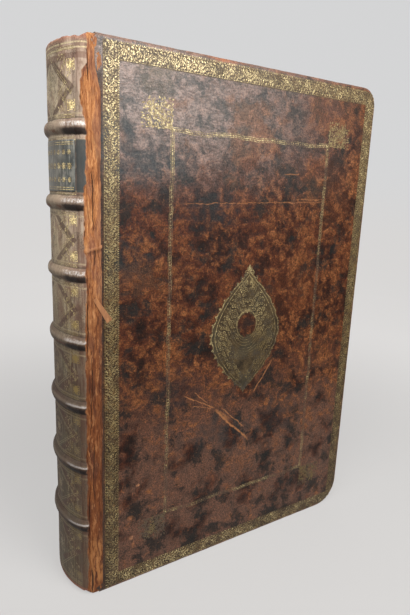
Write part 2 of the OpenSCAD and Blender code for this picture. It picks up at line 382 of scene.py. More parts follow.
silk = Finish("endband_silk")
silk_x, silk_y = silk.axes()[:2]
around = silk_y / (silk_x * -1 + spine_cx)
colour_step = (around * (spine_r * 1.15)).sine().ease(-0.25, 0.25)
faded = silk.noise(0.3, 3)
strand = silk.noise(3, 3, 0.6)
silk.coat(
    base_color=silk.mix(
        faded.ease(0.35, 0.7) * 0.55,
        silk.mix(colour_step, (0.20, 0.045, 0.03), (0.55, 0.43, 0.24)),
        (0.27, 0.20, 0.13),
    ),
    roughness=strand * 0.3 + 0.35,
    normal=silk.bump(strand, 0.05),
)
for name, height in (("head_endband", head_core), ("tail_endband", tail_core)):
    reach = spine_r - leather_t - 0.15 - endband_d / 2
    band = new_piece(name + "_silk", bpy.data.meshes.new(name), silk.material)
    grow(
        band,
        winding,
        {
            "Bend": reach * mm,
            "Start": math.pi - sweep,
            "Sweep": 2 * sweep,
            "Centre": (spine_cx * mm, 0.0, height * mm),
            "Core": (endband_d / 2 - thread_r) * mm,
            "Thread": thread_r * mm,
            "Turns": 82,
            "Silk": silk.material,
        },
    )
    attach(band, "book_block")
    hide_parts(name)

# Spine leather: calf pared thin and moulded wet over the cords, tied up on both sides
# of each band, turned over the endbands as caps. Faded, rubbed and cracked with use.
lowest_band = 65
band_pitch = (board_h - lowest_band - 60) / (band_count - 1)
band_centres = [lowest_band + band_pitch * number for number in range(band_count)]
band_half = 4.95


def rough(x, y, z=0.0):
    """Smooth noise from -1 to 1 at a place given in its own steps."""
    return noise.noise((x, y, z))


def band_share(z):
    """0 between the bands and 1 on the top of one."""
    beside = min((z - middle for middle in band_centres), key=abs)
    beside = abs(beside - 0.3) / (5.2 if beside > 0 else 4.6)
    return 0.0 if beside >= 1 else (1 - beside**2.4) ** 0.75


def spine_skin(angle, z):
    """Radius of the worn leather at an angle from the middle of the spine."""
    band_reach = spine_r + band_rise * (1 - 0.3 * abs(angle / sweep) ** 6)
    around_mm = angle * spine_r
    share = band_share(z + 0.45 * rough(around_mm / 9, z / 60, 5))
    sag = 0.35 + 0.22 * rough(around_mm / 14, z / 30, 1) + 0.10 * rough(around_mm / 3, z / 12, 2)
    worn_top = 0.25 * max(0.0, rough(around_mm / 6, z / 5, 9)) * share
    return spine_r - sag + (band_reach - spine_r + 0.1) * share - worn_top


def on_spine(around_mm, z, lift):
    """Place on the spine leather, from the distance round it towards the front cover."""
    angle = around_mm / spine_r
    radius = spine_skin(angle, z) + lift
    return (spine_cx - radius * math.cos(angle), -radius * math.sin(angle), z)


def spine_profile(angle):
    """Closed section of the spine leather: up the outside, over the head cap, down inside."""
    low, high = tail_core, head_core
    curl = 2.85
    bore = 1.65
    around_mm = angle * spine_r
    outside = []
    rows = 470
    for row in range(rows + 1):
        z = low + (high - low) * row / rows
        outside.append((spine_skin(angle, z), z))
    middle = spine_r - leather_t - bore
    head = []
    tail = []
    for turn in range(1, 12):
        swing = math.pi * turn / 12
        torn = 0.70 + 0.35 * rough(around_mm / 4, swing, 3) - 0.25 * abs(rough(around_mm / 11, swing, 8))
        torn += 0.18 * rough(around_mm / 1.3, 2, 6)
        if turn > 7:
            torn -= 0.12 * abs(rough(around_mm / 2, 3, 1))
        span = outside[-1][0] - middle
        lift = curl * min(torn + 0.18, 1.0)
        head.append((middle + span * math.cos(swing), high + lift * math.sin(swing)))
        span = outside[0][0] - middle
        tail.append((middle + span * math.cos(swing), low - curl * 0.9 * math.sin(swing)))
    head_bore = [
        (middle + bore * math.cos(math.pi * turn / 6), high + bore * math.sin(math.pi * turn / 6))
        for turn in range(6, -1, -1)
    ]
    tail_bore = [
        (middle + bore * math.cos(math.pi * turn / 6), low - bore * math.sin(math.pi * turn / 6))
        for turn in range(0, 7)
    ]
    inside = [(radius - 1.05, z) for radius, z in outside[::-5]]
    tail_lip = [(middle - curl, low)]
    head_lip = [(middle - curl, high)]
    return outside + head + head_lip + head_bore + inside[1:-1] + tail_bore + tail_lip + tail[::-1]


def shell(name, points, faces, smooth=True):
    """A closed mesh from places in millimetres, its faces outwards and its edges kept sharp."""
    mesh = bpy.data.meshes.new(name)
    mesh.from_pydata([Vector(point) * mm for point in points], [], faces)
    work = bmesh.new()
    work.from_mesh(mesh)
    bmesh.ops.recalc_face_normals(work, faces=work.faces)
    for face in work.faces:
        face.smooth = smooth
    for edge in work.edges:
        if smooth and edge.is_manifold and edge.calc_face_angle(0) > 0.9:
            edge.smooth = False
    work.to_mesh(mesh)
    work.free()
    return mesh


def closed_sweep(name, sections, material):
    """Skin over a row of closed sections with the same number of points, ends filled."""
    size = len(sections[0])
    points = [point for section in sections for point in section]
    faces = []
    for column in range(len(sections) - 1):
        for row in range(size):
            after = (row + 1) % size
            first = column * size
            second = first + size
            faces.append((first + row, first + after, second + after, second + row))
    faces.append(tuple(range(size - 1, -1, -1)))
    faces.append(tuple(range(len(points) - size, len(points))))
    return new_piece(name, shell(name, points, faces), material)


label_gap = 3
label_low = band_centres[5] + band_half + label_gap
label_high = band_centres[6] - band_half - label_gap


def spine_tone(calf):
    """Colour, roughness and relief of the spine leather, also where it runs into the joint, with painted
    light and shade: lighter towards the head, darker towards the tail, highlights on the bands and shade
    under them.
    """
    x, y, z = calf.axes()
    angle = (y / (x * -1 + spine_cx)).arctangent()
    streak = calf.noise(0.55, 5, 0.6, calf.stretch(1, 1, 0.07))
    mottle = calf.noise(0.10, 5, 0.62)
    grain = calf.noise(1.5, 4, 0.6)
    fine = calf.noise(0.7, 4, 0.7, calf.stretch(1, 1, 0.6))
    tone = calf.ramp(
        streak * 0.45 + mottle * 0.35 + fine * 0.2,
        (0.37, (0.078, 0.046, 0.029)),
        (0.45, (0.195, 0.132, 0.084)),
        (0.53, (0.325, 0.240, 0.155)),
        (0.64, (0.500, 0.390, 0.260)),
    )
    russet = calf.noise(0.12, 4, 0.6, calf.stretch(1, 1, 0.45)).ease(0.48, 0.60)
    tone = calf.mix(russet * 0.55, tone, (0.150, 0.070, 0.045))
    # Painted light: the leather grows lighter towards the head, as if lit from above.
    tone = calf.mix(z.ease(200, 400) * 0.58, tone, (0.760, 0.590, 0.455))
    tone = calf.mix(streak.ease(0.50, 0.38) * 0.5, tone, (0.150, 0.085, 0.060))
    tone = calf.mix(streak.ease(0.54, 0.66) * 0.40, tone, (0.640, 0.560, 0.420))
    olive = abs(y).ease(26, 8) * z.ease(180, 300)
    tone = calf.mix(olive * 0.42, tone, (0.400, 0.345, 0.205))
    scuff = calf.noise(0.075, 5, 0.65, calf.stretch(1, 1, 0.6)).ease(0.50, 0.60)
    tone = calf.mix(scuff * 0.6, tone, (0.190, 0.100, 0.070))
    # Painted shade: the leather darkens towards the tail, as the light falls from above.
    tail_shade = (z + mottle * 90 - 45).ease(280, 165)
    tone = calf.mix(tail_shade * 0.76, tone, (0.032, 0.020, 0.011))
    greenish = calf.noise(0.05, 3).ease(0.45, 0.65)
    tone = calf.mix(greenish * 0.3, tone, (0.105, 0.105, 0.065))
    to_joint = (abs(y) + streak * 6).ease(28, 34)
    tone = calf.mix(to_joint * 0.45, tone, (0.085, 0.046, 0.033))
    place = (z - band_centres[0] + band_pitch * 2.5) % band_pitch
    off_band = place - band_pitch / 2 + (mottle - 0.5) * 2
    round_mm = abs(angle) * spine_r + (mottle - 0.5) * 4
    lozenge = round_mm / (sweep * spine_r - 8) + (1 - abs(off_band) / (band_pitch / 2)) * 1.32
    in_panels = abs(off_band).ease(6.0, 8.0)
    lozenge_band = (lozenge - 0.96).ease(0.0, 0.08) * (lozenge - 1.28).ease(0.06, -0.02)
    tone = calf.mix(in_panels * lozenge_band * 0.75, tone, (0.080, 0.042, 0.032))
    corner_field = in_panels * (lozenge - 1.30).ease(0.12, 0.0) * round_mm.ease(9, 16)
    tone = calf.mix(corner_field * fine.ease(0.52, 0.62) * 0.35, tone, (0.40, 0.33, 0.16))
    near_joint = abs(y).ease(16, 23)
    banded = z.ease(398, 394) * z.ease(36, 40)
    on_band = banded * abs(off_band - 0.3).ease(5.6, 4.4)
    tone = calf.mix(on_band * z.ease(140, 290) * 0.5, tone, (0.150, 0.098, 0.072))
    tone = calf.mix(on_band * z.ease(290, 160) * 0.6, tone, (0.048, 0.030, 0.022))
    # Painted highlight along the top of each band, brighter towards the head.
    ridge = banded * (abs(off_band - 2.2) + grain * 1.6).ease(2.8, 1.3)
    tone = calf.mix(ridge * z.ease(80, 300, 0.12, 0.32), tone, (0.36, 0.27, 0.19))
    # Painted highlight: whitish streaks along the band tops near the joint, as if they reflected the
    # light.
    ridge_highlight = ridge * near_joint * fine.ease(0.40, 0.58) * z.ease(150, 300)
    tone = calf.mix(ridge_highlight * 0.55, tone, (0.80, 0.78, 0.76))
    # Painted highlight: a pale line on the bands near the joint, lower down the spine.
    low_edge_highlight = banded * abs(off_band - 1.6).ease(1.1, 0.4) * near_joint * z.ease(280, 180)
    tone = calf.mix(low_edge_highlight * 0.45, tone, (0.48, 0.45, 0.43))
    rust = (off_band + 1.8).ease(-2.2, -0.6) * (off_band + 1.8).ease(1.4, 0.0)
    rust = rust * calf.noise(0.1, 3).ease(0.50, 0.58) * banded
    tone = calf.mix(rust * 0.7, tone, (0.20, 0.070, 0.028))
    # Painted shade on the lower flank of each band, darkest near the joint.
    band_underside_shade = (off_band + grain * 1.6 - 0.8).ease(-5.4, -4.2) * (off_band + fine * 2).ease(1.9, -0.3)
    tone = calf.mix(banded * band_underside_shade * (near_joint * 0.64 + 0.30), tone, (0.014, 0.010, 0.009))
    rule_line = abs(abs(off_band) - 8.6 + (fine - 0.5) * 0.8).ease(1.0, 0.3)
    tone = calf.mix(rule_line * banded * z.ease(140, 300, 0.12, 0.5), tone, (0.42, 0.34, 0.21))
    above_band = abs(off_band - 6.0).ease(1.0, 0.3)
    tone = calf.mix(above_band * banded * 0.6, tone, (0.035, 0.024, 0.018))
    tone = calf.mix(z.ease(413, 421) * mottle.ease(0.38, 0.55) * 0.7, tone, (0.200, 0.120, 0.085))
    red_belt = abs(z - 414.5 + (mottle - 0.5) * 3).ease(2.6, 1.6)
    tone = calf.mix(red_belt * 0.6, tone, (0.130, 0.062, 0.044))
    head_line = abs(z - 419.4).ease(0.7, 0.3) + abs(z - 422.6).ease(0.7, 0.3)
    tone = calf.mix(head_line * fine.ease(0.34, 0.50) * 0.6, tone, (0.62, 0.52, 0.30))
    caps = (z.ease(422.5, 427) + z.ease(8, 4)) * grain.ease(0.25, 0.5)
    tone = calf.mix(caps * 0.8, tone, (0.27, 0.105, 0.065))
    titled = (z - label_low).low(z * -1 + label_high).ease(-0.5, 0.5) * abs(y).ease(15, 19)
    tone = calf.mix(titled * (mottle.ease(0.60, 0.35) * 0.4 + 0.5), tone, (0.040, 0.047, 0.047))
    crackle = calf.cells(0.8, "DISTANCE_TO_EDGE", calf.stretch(1, 1, 0.5))
    cracks = crackle.ease(0.0, 0.10, 1, 0) * mottle.ease(0.42, 0.56)
    tone = calf.mix(cracks * 0.6, tone, (0.03, 0.02, 0.016))
    relief = calf.bump(streak * 0.5 + mottle * 0.5, 0.8)
    relief = calf.bump(grain * 0.6 + fine * 0.4 - cracks * 0.5, 0.24, relief)
    return tone, mottle * 0.25 + streak * 0.2 + 0.45 - ridge * 0.10 + caps * 0.25, relief


spine_calf = Finish("faded_spine_calf_painted_light")
worn_and_lit_tone, worn_rough, worn_relief = spine_tone(spine_calf)
spine_calf.coat(
    base_color=worn_and_lit_tone,
    roughness=worn_rough,
    normal=worn_relief,
    specular_ior_level=0.24,
)
spine_columns = 46
sections = []
for column in range(spine_columns + 1):
    angle = sweep * (2 * column / spine_columns - 1)
    along, outwards = math.cos(angle), math.sin(angle)
    sections.append(
        [(spine_cx - radius * along, -radius * outwards, z) for radius, z in spine_profile(angle)]
    )
spine_skin_piece = closed_sweep("worn_spine_leather", sections, spine_calf.material)
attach(spine_skin_piece, "book_block")
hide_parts("spine_leather")


# Title label: a thin patch of dark goatskin, pasted over the spine leather in the second
# panel, with gilt fillets and rows of small flowers from the finisher's everyday tools.
class Tooling:
    """Flat shapes of finishing tools in millimetres, before they are pressed in."""

    def __init__(self):
        self.points = []
        self.faces = []

    def shape(self, corners):
        start = len(self.points)
        self.points += corners
        self.faces.append(tuple(range(start, start + len(corners))))

    def dot(self, x, y, radius, sides=6):
        turns = [2 * math.pi * side / sides for side in range(sides)]
        self.shape([(x + radius * math.cos(turn), y + radius * math.sin(turn)) for turn in turns])

    def leaf(self, x, y, turn, length, width):
        """A pointed leaf that grows from a place in a direction."""
        ahead = (math.cos(turn), math.sin(turn))
        outline = [(0, 0), (0.3, 0.42), (0.62, 0.46), (1, 0), (0.62, -0.46), (0.3, -0.42)]
        self.shape(
            [
                (
                    x + length * along * ahead[0] - width * across * ahead[1],
                    y + length * along * ahead[1] + width * across * ahead[0],
                )
                for along, across in outline
            ]
        )

    def line(self, path, width, last=None):
        """A fillet along a path, its width running to another at the end."""
        last = width if last is None else last
        start = len(self.points)
        for index, (x, y) in enumerate(path):
            before = path[max(index - 1, 0)]
            after = path[min(index + 1, len(path) - 1)]
            run = math.hypot(after[0] - before[0], after[1] - before[1]) or 1
            half = (width + (last - width) * index / (len(path) - 1)) / 2
            across = (-(after[1] - before[1]) / run * half, (after[0] - before[0]) / run * half)
            self.points += [(x + across[0], y + across[1]), (x - across[0], y - across[1])]
        for index in range(len(path) - 1):
            first = start + 2 * index
            self.faces.append((first, first + 1, first + 3, first + 2))

    def curl(self, x, y, radius, start, turns, width, steps=12):
        """A scroll wound in round a place, closed by a dot. Negative turns wind the other way."""
        path = []
        for index in range(steps + 1):
            share = index / steps
            swing = start + 2 * math.pi * turns * share
            reach = radius * (1 - 0.78 * share)
            path.append((x + reach * math.cos(swing), y + reach * math.sin(swing)))
        self.line(path, width, width * 0.55)
        self.dot(x, y, radius * 0.24, 5)

    def add(self, other, place):
        """Another tool's shapes, moved by a function of x and y."""
        start = len(self.points)
        self.points += [place(x, y) for x, y in other.points]
        self.faces += [tuple(start + corner for corner in face) for face in other.faces]

    def keep(self, test):
        """Drops the shapes whose middle fails a test."""
        kept = []
        for face in self.faces:
            x = sum(self.points[corner][0] for corner in face) / len(face)
            y = sum(self.points[corner][1] for corner in face) / len(face)
            if test(x, y):
                kept.append(face)
        self.faces = kept

    def flat(self, name):
        """The shapes as they lie, for a roll to repeat."""
        mesh = bpy.data.meshes.new(name)
        mesh.from_pydata([(x, y, 0) for x, y in self.points], [], self.faces)
        return mesh

    def pressed(self, name, place, material, lift=0.06, sink=0.2):
        """The shapes laid on a surface, each a thin closed film."""
        used = sorted({corner for face in self.faces for corner in face})
        number = {corner: index for index, corner in enumerate(used)}
        count = len(used)
        points = [place(*self.points[corner], lift) for corner in used]
        points += [place(*self.points[corner], -sink) for corner in used]
        faces = []
        edges = {}
        for face in self.faces:
            top = [number[corner] for corner in face]
            faces.append(top)
            faces.append([corner + count for corner in reversed(top)])
            for index, corner in enumerate(top):
                after = top[(index + 1) % len(top)]
                edges.setdefault(frozenset((corner, after)), []).append((corner, after))
        for sides in edges.values():
            if len(sides) == 1:
                first, second = sides[0]
                faces.append([second, first, first + count, second + count])
        return new_piece(name, shell(name, points, faces, False), material)


def squares(columns, rows, at):
    """The faces between the points of a grid, whose numbers a function gives."""
    return [
        [at(column, row), at(column + 1, row), at(column + 1, row + 1), at(column, row + 1)]
        for column in range(columns)
        for row in range(rows)
    ]


def patch_of(width, height, middle, columns, rows):
    """A plain patch in small squares, so that it can follow a rounded surface."""
    patch = Tooling()
    for column in range(columns + 1):
        for row in range(rows + 1):
            across = width * (column / columns - 0.5)
            patch.points.append((across, middle + height * (row / rows - 0.5)))
    patch.faces = squares(columns, rows, lambda column, row: column * (rows + 1) + row)
    return patch


goatskin = Finish("dark_label_goatskin")
pebble = goatskin.cells(1.6, "F1")
label_mottle = goatskin.noise(0.14, 4, 0.6)
label_streak = goatskin.noise(0.6, 4, 0.6, goatskin.stretch(1, 1, 0.1))
label_tone = goatskin.ramp(
    label_mottle * 0.5 + label_streak * 0.5,
    (0.36, (0.026, 0.029, 0.028)),
    (0.50, (0.070, 0.076, 0.070)),
    (0.61, (0.240, 0.232, 0.200)),
)
to_front = goatskin.axes()[1] * -1
label_tone = goatskin.mix(to_front.ease(26, 8) * 0.45, label_tone, (0.145, 0.125, 0.095))
goatskin.coat(
    base_color=label_tone,
    roughness=label_mottle * 0.3 + 0.32,
    normal=goatskin.bump(pebble * 0.6 + label_streak * 0.4, 0.16),
)
label_middle = (label_low + label_high) / 2
label_tall = label_high - label_low
label_w = 60.0
label_t = 0.3


def on_label(around_mm, z, lift):
    return on_spine(around_mm, z, lift + label_t)


patch = patch_of(label_w, label_tall, label_middle, 50, 30)
label = patch.pressed("title_patch", on_label, goatskin.material, 0.0, label_t)
for face in label.data.polygons:
    face.use_smooth = True
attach(label, "book_block")
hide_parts("title_label")


# Gilt tooling of the spine: gold leaf laid on glair and pressed with hot brass tools. A
# flower in each panel corner, crossed fillets, and hatched lines along the bands.
def gold_leaf(name, leather, rub, dull, metal=0.7, bright=1.0):
    """Gold with its rubbed parts: rub and dull are functions of the place, from 0 to 1."""
    gold = Finish(name)
    crumbs = gold.noise(0.8, 4, 0.72)
    patchy = gold.noise(0.12, 4, 0.6)
    x, y, z = gold.axes()
    rubbed = rub(gold, x, y, z)
    dulled = dull(gold, x, y, z)
    worn = (crumbs * 0.62 + patchy * 0.38 + rubbed * 0.30).ease(0.52, 0.63)
    glint = gold.noise(0.48, 3, 0.6).ease(0.42, 0.64)
    shine = gold.mix(
        glint,
        (0.16 * bright, 0.116 * bright, 0.054 * bright),
        (0.50 * bright, 0.410 * bright, 0.210 * bright),
    )
    shine = gold.mix(dulled, shine, (0.086 * bright, 0.058 * bright, 0.018 * bright))
    tone = gold.mix(worn, shine, leather)
    gold.coat(
        base_color=tone,
        metallic=worn.ease(0, 1, metal, 0.0),
        roughness=dulled * 0.2 + worn * 0.15 + 0.32,
        specular_ior_level=0.3,
        normal=gold.bump(crumbs, 0.15),
    )
    return gold.material


spine_gold = gold_leaf(
    "spine_gold_leaf",
    (0.17, 0.130, 0.080),
    lambda gold, x, y, z: abs(y).ease(24, 6) * 0.42 - 0.05 + z.ease(280, 150) * 0.22,
    lambda gold, x, y, z: gold.noise(0.08, 3).ease(0.35, 0.65) * 0.2 + z.ease(310, 170) * 0.8,
    0.1,
    1.6,
)
roundel_gold = gold_leaf(
    "roundel_gold_leaf",
    (0.12, 0.088, 0.052),
    lambda gold, x, y, z: z.ease(260, 100) * 0.50 - 0.14,
    lambda gold, x, y, z: z.ease(310, 200),
    0.0,
    2.2,
)

flower = Tooling()
flower.dot(0, 0, 1.15, 7)
for petal in range(8):
    turn = 2 * math.pi * petal / 8
    flower.leaf(1.1 * math.cos(turn), 1.1 * math.sin(turn), turn, 1.9, 1.5)
for bead in range(4):
    turn = 2 * math.pi * (bead + 0.5) / 4
    flower.dot(3.1 * math.cos(turn), 3.1 * math.sin(turn), 0.38, 5)

roundel = Tooling()
roundel.dot(0, 0, 2.2, 10)
for petal in range(10):
    turn = 2 * math.pi * petal / 10
    roundel.dot(2.75 * math.cos(turn), 2.75 * math.sin(turn), 0.66, 6)
for turn in range(4):
    ends = [(3.5, -3.5), (3.5, 3.5)]
    for _ in range(turn):
        ends = [(-y, x) for x, y in ends]
    roundel.line(ends, 0.4)

roundels = Tooling()
spine_tools = Tooling()
edge_mm = sweep * spine_r


def stamp_at(tooling, tool, x, y, size=1.0, turn=0.0):
    """Presses a hand tool at a place, turned about its middle."""
    cosine = math.cos(turn) * size
    sine = math.sin(turn) * size
    tooling.add(tool, lambda a, b: (x + a * cosine - b * sine, y + a * sine + b * cosine))


def straight(first, second, steps):
    return [
        (
            first[0] + (second[0] - first[0]) * index / steps,
            first[1] + (second[1] - first[1]) * index / steps,
        )
        for index in range(steps + 1)
    ]


for index in range(band_count + 1):
    low = 8.5 if index == 0 else band_centres[index - 1] + 6.4
    high = text_top - 3.0 if index == band_count else band_centres[index] - 6.4
    for z in (low, low + 1.8, high, high - 1.8):
        spine_tools.line(straight((-edge_mm + 0.8, z), (edge_mm - 0.8, z), 40), 0.42)
    for tick in range(42):
        x = -edge_mm + 1.6 + tick * (2 * edge_mm - 3.2) / 41
        spine_tools.line([(x - 0.3, low + 0.5), (x + 0.3, low + 1.4)], 0.3)
        spine_tools.line([(x - 0.3, high - 1.4), (x + 0.3, high - 0.5)], 0.3)
    low += 3.2
    high -= 3.2
    middle = (low + high) / 2
    if index == band_count - 1:
        continue
    for side in (-1, 1):
        upright = side * (edge_mm - 10.2)
        spine_tools.line(straight((upright, low), (upright, high), 24), 0.3)
    head_gap = 8.0 if index == band_count else 2.2
    for side in (-1, 1):
        for z in (low + 4.4, high - head_gap):
            stamp_at(roundels, roundel, side * (edge_mm - 4.2), z)
    for reach in (edge_mm - 10.5, edge_mm - 8.2):
        tall = (high - low) / 2 * reach / (edge_mm - 9)
        corners = [(-reach, middle), (0, middle + tall), (reach, middle), (0, middle - tall)]
        for first, second in zip(corners, corners[1:] + corners[:1]):
            side = straight(first, second, 20)
            side = [(x, min(max(z, low - 1.5), high + 1.5)) for x, z in side]
            spine_tools.line(side, 0.36)
    for side in (-1, 1):
        for end in (-1, 1):
            base = low if end < 0 else high
            for x, z, turn, size in (
                (12.6, 2.4, 2.5, 1.0),
                (10.4, 6.4, 2.2, 1.0),
                (5.0, 13.0, 1.9, 0.9),
                (12.6, 9.4, 2.3, 0.8),
                (16.0, 1.8, 2.8, 0.8),
            ):
                place = (side * (edge_mm - x), base - end * z)
                spine_tools.curl(*place, 1.7 * size, side * end * turn, side * end * -1.2, 0.5, 9)
                heading = math.atan2(-end * 0.8, -side)
                spine_tools.leaf(place[0] - side * 1.2, place[1] - end * 1.0, heading, 2.4, 1.1)
    stamp_at(spine_tools, flower, 0, middle, 1.3)
    for side in (-1, 1):
        for end in (-1, 1):
            spine_tools.curl(side * 5.5, middle + end * 5.2, 1.7, end * 1.57, side * end * 1.1, 0.45)
            spine_tools.leaf(side * 1.6, middle + end * 4.2, end * 1.57, 4.2, 1.3)
spine_gilt = spine_tools.pressed("spine_gilding", on_spine, spine_gold, 0.05, 0.15)
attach(spine_gilt, "book_block")
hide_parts("spine_tooling")
blossoms = roundels.pressed("spine_roundels", on_spine, roundel_gold, 0.07, 0.15)
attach(blossoms, "book_block")

label_tools = Tooling()
fillet_end = label_w / 2 - 1
for z in (label_low + 1.6, label_low + 3.0, label_high - 1.6, label_high - 3.0):
    label_tools.line(straight((-fillet_end, z), (fillet_end, z), 40), 0.5)
for row, z in enumerate((8.2, 17.5, 26.8)):
    for place in range(-4, 5):
        x = place * 6.2
        size = 0.78 if row == 1 else 0.62
        stamp_at(label_tools, flower, x, label_low + z, size)
        if place < 4:
            label_tools.dot(x + 3.1, label_low + z, 0.45, 5)
label_gilt = label_tools.pressed("title_patch_gilding", on_label, spine_gold, 0.05, 0.1)
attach(label_gilt, "book_block")

# Boards: sheets of paper pasted together and pressed, with channels for the slips. They
# are hidden under the leather except where its edge has torn.
pasteboard = Finish("pasteboard")
ply = pasteboard.noise(1.2, 3, 0.6, pasteboard.stretch(0.05, 1, 0.05))
pulp = pasteboard.noise(0.5, 5, 0.65)
board_x = pasteboard.axes()[0]
board_tone = pasteboard.ramp(
    ply * 0.5 + pulp * 0.5, (0.35, (0.22, 0.16, 0.10)), (0.6, (0.44, 0.35, 0.23))
)
soil = (board_x - joint_x + pulp * 3).ease(6.5, 3.5)
pasteboard.coat(
    base_color=pasteboard.mix(soil * 0.85, board_tone, (0.105, 0.042, 0.024)),
    roughness=0.92,
    normal=pasteboard.bump(ply * 0.6 + pulp * 0.4, 0.3),
)
for side in ("front", "back"):
    dress(f"{side}_board", pasteboard)

# Cover leather: one calf skin dyed brown, then sprinkled with acid that ate dark clouds
# and left tan flecks. It is drawn over the board, its edges turned in, and polished.
covers = (("front", -1), ("back", 1))
head_corner_r = 16.0
tail_corner_r = 26.0
roll_left = 8.4
roll_w = 12.4
turn_in_w = 19.9
board_t = 5.0
board_room = 0.05


def face_dip(u, z):
    """How far the leather of a cover lies below the plane of its highest points."""
    slow = rough(u / 95, z / 95, 3.1)
    dents = rough(u / 24, z / 24, 7.7)
    rim = min(board_w - u, z, board_h - z)
    return 0.36 + 0.14 * slow + 0.07 * dents + 0.12 * math.exp(-max(rim, 0) / 3.0)


def in_outline(across, along, inset, start):
    """Place on a cover from shares of its width and height, its corners rounded."""
    u = start + (board_w - inset - start) * across
    z = inset + (board_h - 2 * inset) * along
    for corner_r, head in ((head_corner_r, True), (tail_corner_r, False)):
        radius = max(corner_r - inset, 0.6)
        a = u - (board_w - inset - radius)
        b = z - (board_h - inset - radius) if head else inset + radius - z
        if a > 0 and b > 0:
            pull = max(a, b) / math.hypot(a, b) - 1
            u += a * pull
            z += b * pull if head else -b * pull
    return u, z


def corner_rim(u, z):
    """How far inside the arc of a rounded corner a place lies. Elsewhere it is far inside."""
    for radius, end in ((head_corner_r, board_h), (tail_corner_r, 0.0)):
        across = u - (board_w - radius)
        along = radius - abs(z - end)
        if across > 0 and along > 0:
            return radius - math.hypot(across, along)
    return board_w


def clip(share):
    """A share kept from 0 to 1."""
    return min(max(share, 0.0), 1.0)


def torn_start(z):
    """Where the cover leather begins beside the torn joint: nearer to it at the head."""
    from_end = min(z, board_h - z)
    rounding = max(0.0, 1 - from_end / 3.2)
    torn = clip((from_end - 3.2) / 2.2)
    below_head = clip((409 - z) / 12)
    ragged = 2.8 + 3.6 * below_head + 0.6 * rough(z / 9, 1.5) + 0.35 * rough(z / 2.5, 4.5)
    return 0.6 + 3.2 * (1 - math.sqrt(1 - rounding**2)) + torn * ragged


def keep_marks(mesh, title, values):
    """Keeps a number at each point of a mesh, for its finish to read."""
    layer = mesh.attributes.new(title, "FLOAT", "POINT")
    layer.data.foreach_set("value", values)


def cover_skin(name, side, material):
    """The leather of a cover: outside, edges and turn-ins, hollow for the board."""
    wide, tall = 90, 138
    points = []
    marks = []

    def point(u, depth, z, edge, inside):
        points.append((joint_x + u, side * (book_t / 2 - depth), z))
        marks.append((edge, inside))
        return len(points) - 1

    def wobble(column, row):
        return 0.35 * abs(rough(column / 5, row / 5, 11)) + 0.25 * max(0, rough(column / 2, row / 2, 13))

    rolled_edge = 2.4
    hollow = leather_t + board_room
    turned_edge = [
        (1.5, 0.14),
        (0.75, 0.45),
        (0.25, 1.1),
        (0.0, 2.2),
        (0.0, 4.6),
        (0.25, 5.8),
        (0.8, 6.45),
        (2.0, 6.8),
        (5.5, 6.8),
        (turn_in_w, 6.8),
        (turn_in_w, hollow + board_t),
        (hollow, leather_t + board_t),
    ]
    grids = {}
    for layer, inset in enumerate((rolled_edge, hollow)):
        for column in range(wide + 1):
            for row in range(tall + 1):
                z_guess = board_h * row / tall
                start = torn_start(z_guess)
                u, z = in_outline(column / wide, row / tall, inset, start)
                rim = min(board_w - u, z, board_h - z)
                if u > board_w - 22:
                    rim = min(rim, corner_rim(u, z))
                depth = face_dip(u, z) if layer == 0 else hollow
                grids[layer, column, row] = point(u, depth, z, rim, float(layer))
    stations = [(column, 0) for column in range(wide + 1)]
    stations += [(wide, row) for row in range(1, tall)]
    stations += [(column, tall) for column in range(wide, -1, -1)]
    rings = []
    for column, row in stations:
        ring = [grids[0, column, row]]
        outer = points[ring[0]]
        dip = book_t / 2 - abs(outer[1])
        worn = wobble(column, row)
        for inset, depth in turned_edge:
            start = torn_start(board_h * row / tall)
            limit = inset + worn * max(0, 1 - inset / 6)
            u, z = in_outline(column / wide, row / tall, limit, min(start, 0.6 + limit))
            if column == 0:
                u = points[ring[0]][0] - joint_x
            deep = dip + depth if depth < 1 else depth
            inside = 1.0 if depth > 6 and inset > 1.5 else 0.0
            ring.append(point(u, deep, z, inset if inside else 0.0, inside))
        ring.append(grids[1, column, row])
        rings.append(ring)
    faces = squares(wide, tall, lambda column, row: grids[0, column, row])
    faces += [face[::-1] for face in squares(wide, tall, lambda column, row: grids[1, column, row])]
    for first, second in zip(rings, rings[1:]):
        for place in range(len(first) - 1):
            faces.append([first[place], first[place + 1], second[place + 1], second[place]])
    for row in range(tall):
        faces.append(
            [grids[0, 0, row], grids[0, 0, row + 1], grids[1, 0, row + 1], grids[1, 0, row]]
        )
    faces.append(rings[0])
    faces.append(rings[-1][::-1])
    mesh = shell(name, points, faces)
    for title, place in (("rim", 0), ("inside", 1)):
        keep_marks(mesh, title, [mark[place] for mark in marks])
    return new_piece(name, mesh, material)


def patch_mask(u, z, middle_u, middle_z, half_u, half_z, ragged):
    """1 inside a soft oval on a cover, its edge broken by noise."""
    across = (u - middle_u) / half_u
    along = (z - middle_z) / half_z
    away = across * across + along * along + (ragged - 0.5) * 7
    return away.ease(-1.2, 1.9, 1, 0)


def scratch_mask(u, z, first, second, width):
    """1 along a straight scratch between two places, thinner at its ends."""
    run = (second[0] - first[0], second[1] - first[1])
    length = math.hypot(*run)
    ahead = (run[0] / length, run[1] / length)
    from_u = u - first[0]
    from_z = z - first[1]
    along = (from_u * ahead[0] + from_z * ahead[1]) / length
    across = abs(from_z * ahead[0] - from_u * ahead[1])
    ends = abs(along - 0.5).ease(0.38, 0.52, 1, 0)
    return (across / width).ease(0.35, 1.0, 1, 0) * ends


